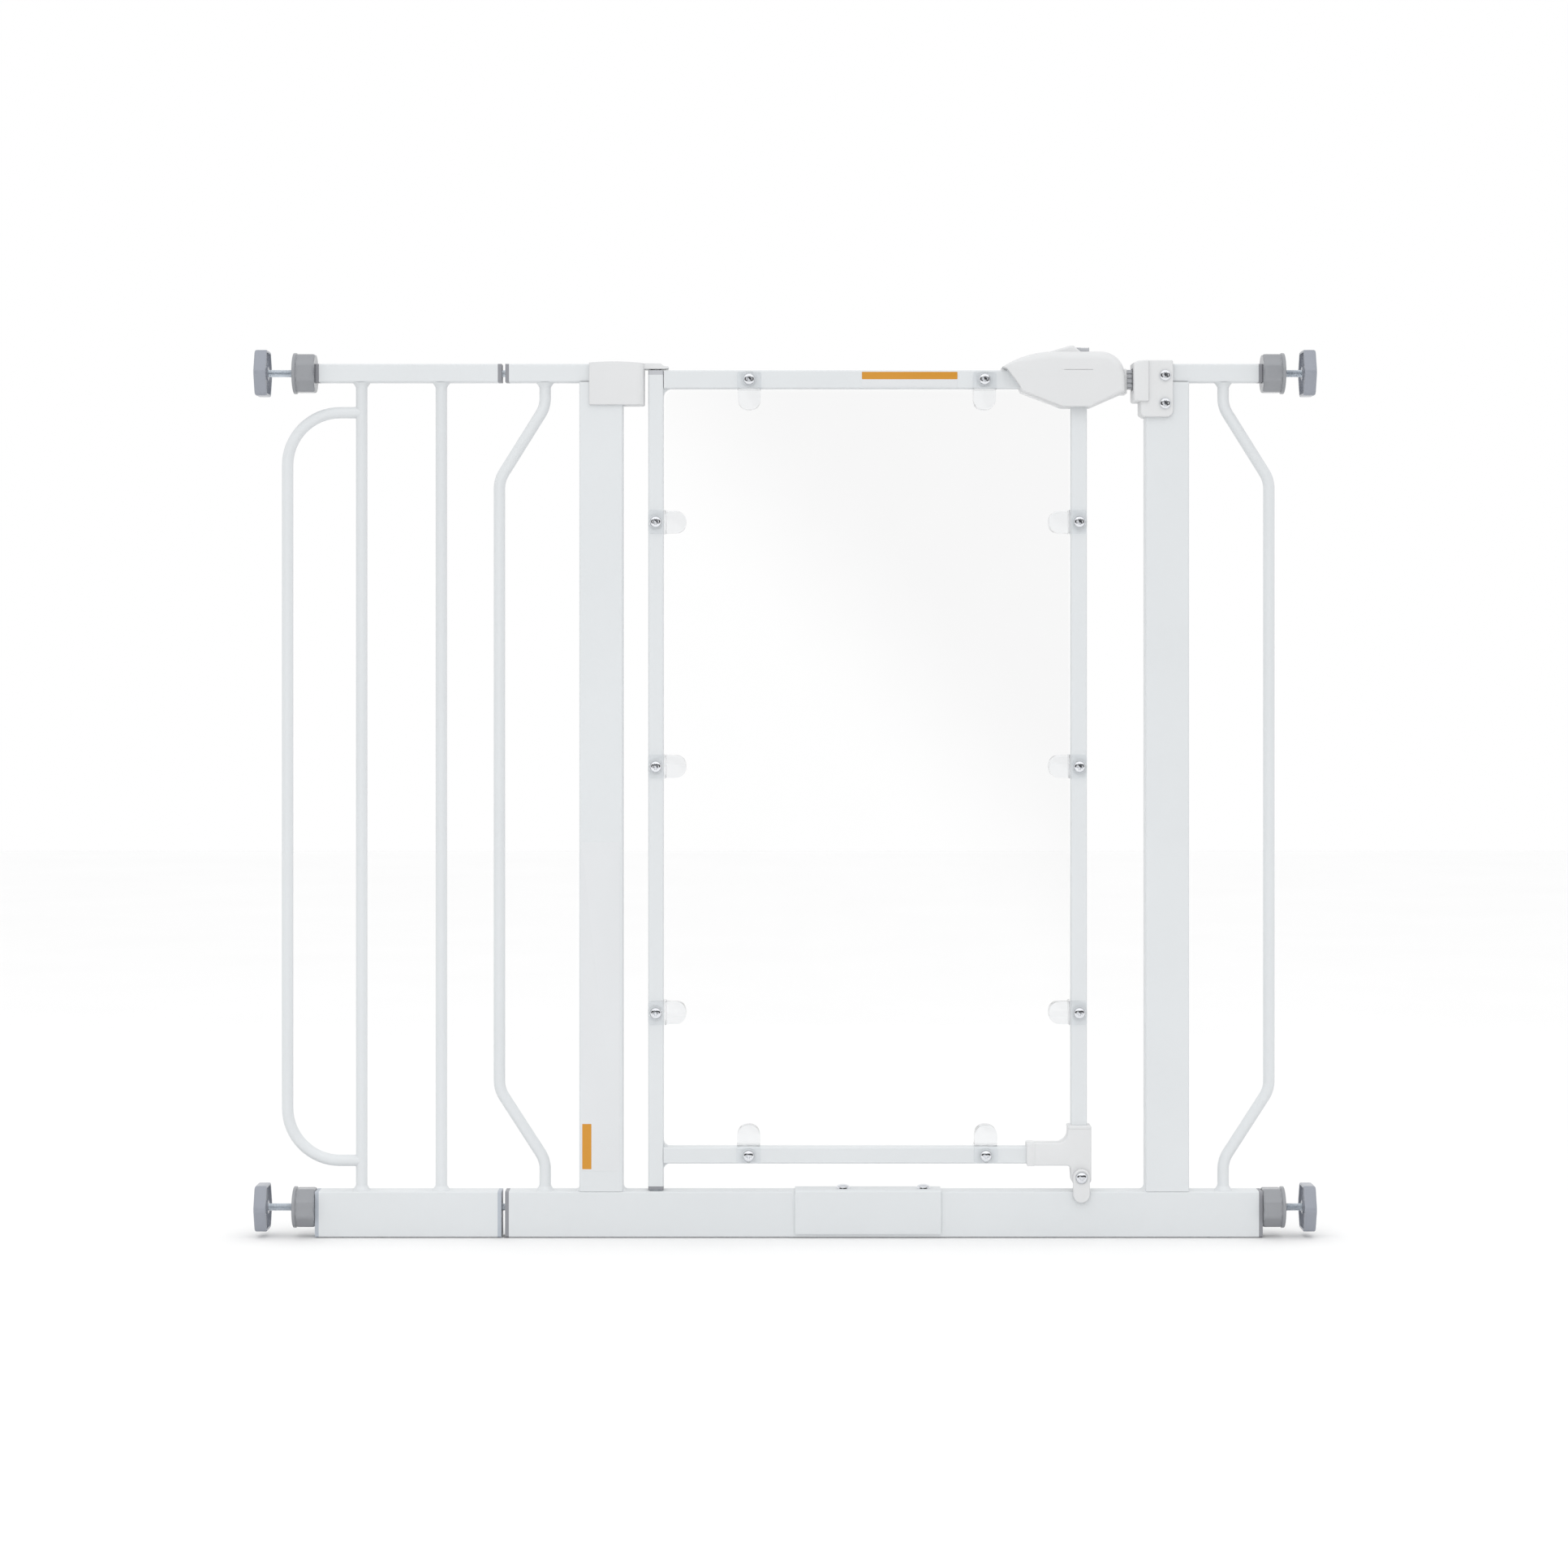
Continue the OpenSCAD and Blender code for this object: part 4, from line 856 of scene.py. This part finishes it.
def stop_tab():
    """A pill-shaped tab with a raised ring round its screw."""
    b = Box("stop_tab")
    r = (b.x1 - b.x0) / 2
    ring_z, rise = b.z1 - r, 0.4
    outline = arc(b.x, ring_z, r, 0, 180, 16) + arc(b.x, b.z0 + r, r, 180, 360, 16)
    tab = mesh_object("Stop_tab_pill", [slab(outline, b.y0, b.y1, 1.2, 0.5)], FINISH["moulded_white"])
    foot, top = b.y0 + 1, b.y0 - rise
    ring = [(foot, 6.2), (b.y0 - 0.25, 6.2), (top, 6.0), (top, 5.5), (foot, 5.4)]
    combine(tab, [lathe(ring, (b.x, 0, ring_z), "y", 40)], "UNION")
    keep(tab, "stop", "moulded_white", "stop_tab")
    head = dome_head(b.x, b.y0, ring_z, HEAD_R, 3.1)
    piece("Stop_tab_screw_head", [head], "chrome", "door", "stop_tab_screw")


def clip_shape(side):
    """A clear clip lying along +X from its screw, on one face of the door: its base, finger and ring."""
    base = fillet(rectangle(-6.6, 9.4, -10.4, 10.4), [2.5, 1, 1, 2.5])
    finger = fillet(rectangle(8.2, 26.4, -9.9, 9.9), [0.5, 9, 9, 0.5], 10)
    ring = [(side * 9, 6.6), (side * 10.1, 6.6), (side * 10.4, 6.3), (side * 10.4, 5.8), (side * 10, 5.4)]
    return (side_layer(base, side, 6.66, 9.65, 0.7), side_layer(finger, side, 1.55, 7.6, 1.0),
            lathe(ring, (0, 0, 0), "y", 40))


def side_layer(outline, side, near, far, edge):
    """A slab between two depths on one side of the middle plane, its outer edge rounded."""
    if side < 0:
        return slab(outline, -far, -near, edge, 0.2)
    return slab(outline, near, far, 0.2, edge)


def clip_places():
    """Each clip's screw, and the angle that its finger points at."""
    front = Box("clips_front")
    top, low = Box("door_top_rail").z, Box("door_bottom_rail").z
    tube_half = 6.65
    left, right = front.x0 + tube_half, front.x1 - tube_half
    places = [(x, top, 270) for x in (-31.5, 174)] + [(x, low, 90) for x in (-32, 175)]
    for z in (195.5, 410.5, 624):
        places += [(left, z, 0), (right, z, 180)]
    return places


def clips():
    """Ten clips on the front and ten on the rear; each set shares one mesh."""
    for side, node in ((-1, "clips_front"), (1, "clips_rear")):
        name = f"Clip_{node[6:]}"
        base, finger, ring = clip_shape(side)
        master = mesh_object(f"{name}_0", [finger], FINISH["clear_clip"])
        combine(master, [base, ring], "UNION")
        for k, (x, z, angle) in enumerate(clip_places()):
            clip = master
            if k:
                clip = bpy.data.objects.new(f"{name}_{k}", master.data)
                bpy.context.scene.collection.objects.link(clip)
            turn = Matrix.Rotation(-math.radians(angle), 4, "Y")
            clip.matrix_world = Matrix.Translation((x * MM, 0, z * MM)) @ turn
            keep(clip, "door", "clear_clip", *([] if k else [node]))
    shapes = []
    for x, z, angle in clip_places():
        shapes += [dome_head(x, -9.7, z), cap_nut(x, 10, z, 3.4)]
    piece("Clip_screw_heads", shapes, "chrome", "door", "clip_screws")


def door_label():
    """A blank film label: a plain orange strip above a white one. Its back lies inside the rail's face."""
    b = Box("door_sticker")
    back, edge = -6.6, 0.03
    low = fillet(rectangle(b.x0, b.x1, b.z0, b.z + 0.5), 0.6)
    high = fillet(rectangle(b.x0, b.x1, b.z, b.z1), 0.6)
    piece("Door_label_white", [slab(low, b.y0, back, edge)], "label_white", "door", "door_sticker")
    piece("Door_label_orange", [slab(high, b.y0 - 0.02, back, edge)], "label_orange", "door")


# ---------- studio ----------


def floor():
    """A pale floor just under the gate. It is staging, not part of the object."""
    mesh = bpy.data.meshes.new("Studio_floor")
    side, front, back, level = 4.0, -1.7, 6.0, -0.0006
    corners = [(-side, front, level), (side, front, level), (side, back, level), (-side, back, level)]
    mesh.from_pydata(corners, [], [(0, 1, 2, 3)])
    s = Shader("Studio_white")
    s.vary_colour(s.noise(3, 2), (0.83, 0.83, 0.83, 1), (0.84, 0.84, 0.84, 1))
    s.vary_roughness(s.noise(30, 2), 0.8, 0.9)
    s.bumps([(s.noise(300, 2), 0.05, 0.1)])
    s.main.inputs["Specular IOR Level"].default_value = 0.1
    mesh.materials.append(s.material)
    obj = bpy.data.objects.new("Studio_floor", mesh)
    bpy.context.scene.collection.objects.link(obj)


class Sky:
    """The studio's light: white all round, brighter above.

    Glossy rays also find a dark field at the upper right and at the left, towards the front. It gives the
    clear panel its soft diagonal reflection and the screw heads their dark band.
    """

    def __init__(self):
        world = bpy.data.worlds.new("Studio_light")
        bpy.context.scene.world = world
        world.use_nodes = True
        self.tree = world.node_tree
        coords = self.add("ShaderNodeTexCoord")
        self.axes = self.add("ShaderNodeSeparateXYZ")
        self.join(coords.outputs["Generated"], self.axes.inputs[0])
        self.path = self.add("ShaderNodeLightPath")

    def add(self, kind):
        return self.tree.nodes.new(kind)

    def join(self, source, target):
        self.tree.links.new(source, target)

    def fade(self, source, start, end, low, high):
        """A soft step from low to high as the source goes from start to end."""
        node = self.add("ShaderNodeMapRange")
        node.interpolation_type = "SMOOTHSTEP"
        for key, value in zip(("From Min", "From Max", "To Min", "To Max"), (start, end, low, high)):
            node.inputs[key].default_value = value
        self.join(source, node.inputs["Value"])
        return node.outputs["Result"]

    def work_out(self, how, a, b):
        """One sum of two numbers or sockets."""
        node = self.add("ShaderNodeMath")
        node.operation = how
        for value, socket in ((a, node.inputs[0]), (b, node.inputs[1])):
            if isinstance(value, (int, float)):
                socket.default_value = value
            else:
                self.join(value, socket)
        return node.outputs[0]

    def mix(self, share, a, b):
        """The number that lies between a and b by the share."""
        node = self.add("ShaderNodeMix")
        for value, socket in ((share, node.inputs[0]), (a, node.inputs[2]), (b, node.inputs[3])):
            if isinstance(value, (int, float)):
                socket.default_value = value
            else:
                self.join(value, socket)
        return node.outputs[0]

    def make(self):
        x, y, z = self.axes.outputs
        soft = self.fade(z, -0.2, 0.9, 0.85, 1.25)
        slope = self.work_out("ADD", self.work_out("MULTIPLY", x, 1.2), z)
        front = self.fade(slope, -0.005, 0.085, 1.0, 0.05)
        front = self.work_out("MINIMUM", front, self.fade(x, -0.34, -0.22, 0.05, 1.0))
        gloss = self.mix(self.fade(z, 0.3, 0.55, 0, 1), front, 1.3)
        gloss = self.mix(self.fade(y, -0.55, -0.2, 0, 1), gloss, 1.0)
        light = self.mix(self.path.outputs["Is Glossy Ray"], soft, gloss)
        rays = self.path.outputs
        seen = self.work_out("MAXIMUM", rays["Is Camera Ray"], rays["Is Transmission Ray"])
        light = self.mix(seen, light, 1.0)
        self.join(light, self.tree.nodes["Background"].inputs["Strength"])
        self.tree.nodes["Background"].inputs["Color"].default_value = (1, 1, 1, 1)


def soft_box(name, spot, aim, size, watts):
    """A rectangular light that clear and glossy surfaces don't mirror."""
    data = bpy.data.lights.new(name, "AREA")
    data.shape = "RECTANGLE"
    data.size, data.size_y = size
    data.energy = watts
    obj = bpy.data.objects.new(name, data)
    obj.location = spot
    obj.rotation_euler = (Vector(aim) - Vector(spot)).to_track_quat("-Z", "Y").to_euler()
    obj.visible_glossy = False
    obj.visible_transmission = False
    bpy.context.scene.collection.objects.link(obj)


def camera():
    """Level and square-on; the shift keeps the gate at the height that it has in the photo."""
    distance, width, height, middle = 2.9, 1.3669, 0.5, 0.3958
    data = bpy.data.cameras.new("Camera")
    data.sensor_width = 36
    data.lens = data.sensor_width * distance / width
    obj = bpy.data.objects.new("Camera", data)
    data.shift_y = (middle - height) / width
    obj.location = (-0.0011, -distance - 0.01, height)
    obj.rotation_euler = (PI / 2, 0, 0)
    bpy.context.scene.collection.objects.link(obj)
    bpy.context.scene.camera = obj


def studio():
    """The floor, the lights and the camera."""
    floor()
    Sky().make()
    soft_box("Key_light", (-0.5, -3.0, 1.2), (0, 0, 0.3), (2.0, 2.0), 13)
    soft_box("Floor_light", (0, -1.6, 2.4), (0, -1.6, 0), (3.4, 1.4), 10)
    camera()
    bpy.context.scene.view_settings.view_transform = "Standard"


# ---------- the whole ----------


def build():
    """Every finished piece of the gate."""
    finish_cad_nodes()
    stepped_bar("left")
    stepped_bar("right")
    bow()
    upright_bar("ext_inner_bar")
    upright_bar("ext_outer_bar")
    hinge_bracket()
    rear_bracket_screws()
    catch()
    joiner_bolts()
    post_label()
    for level in ("top", "bottom"):
        spindle(f"{level}_left", -1)
        spindle(f"{level}_right", 1)
    handle()
    handle_screws()
    latch_bolt()
    latch_button()
    latch_spring()
    corner_bracket()
    stop_tab()
    clips()
    door_label()


build()
studio()
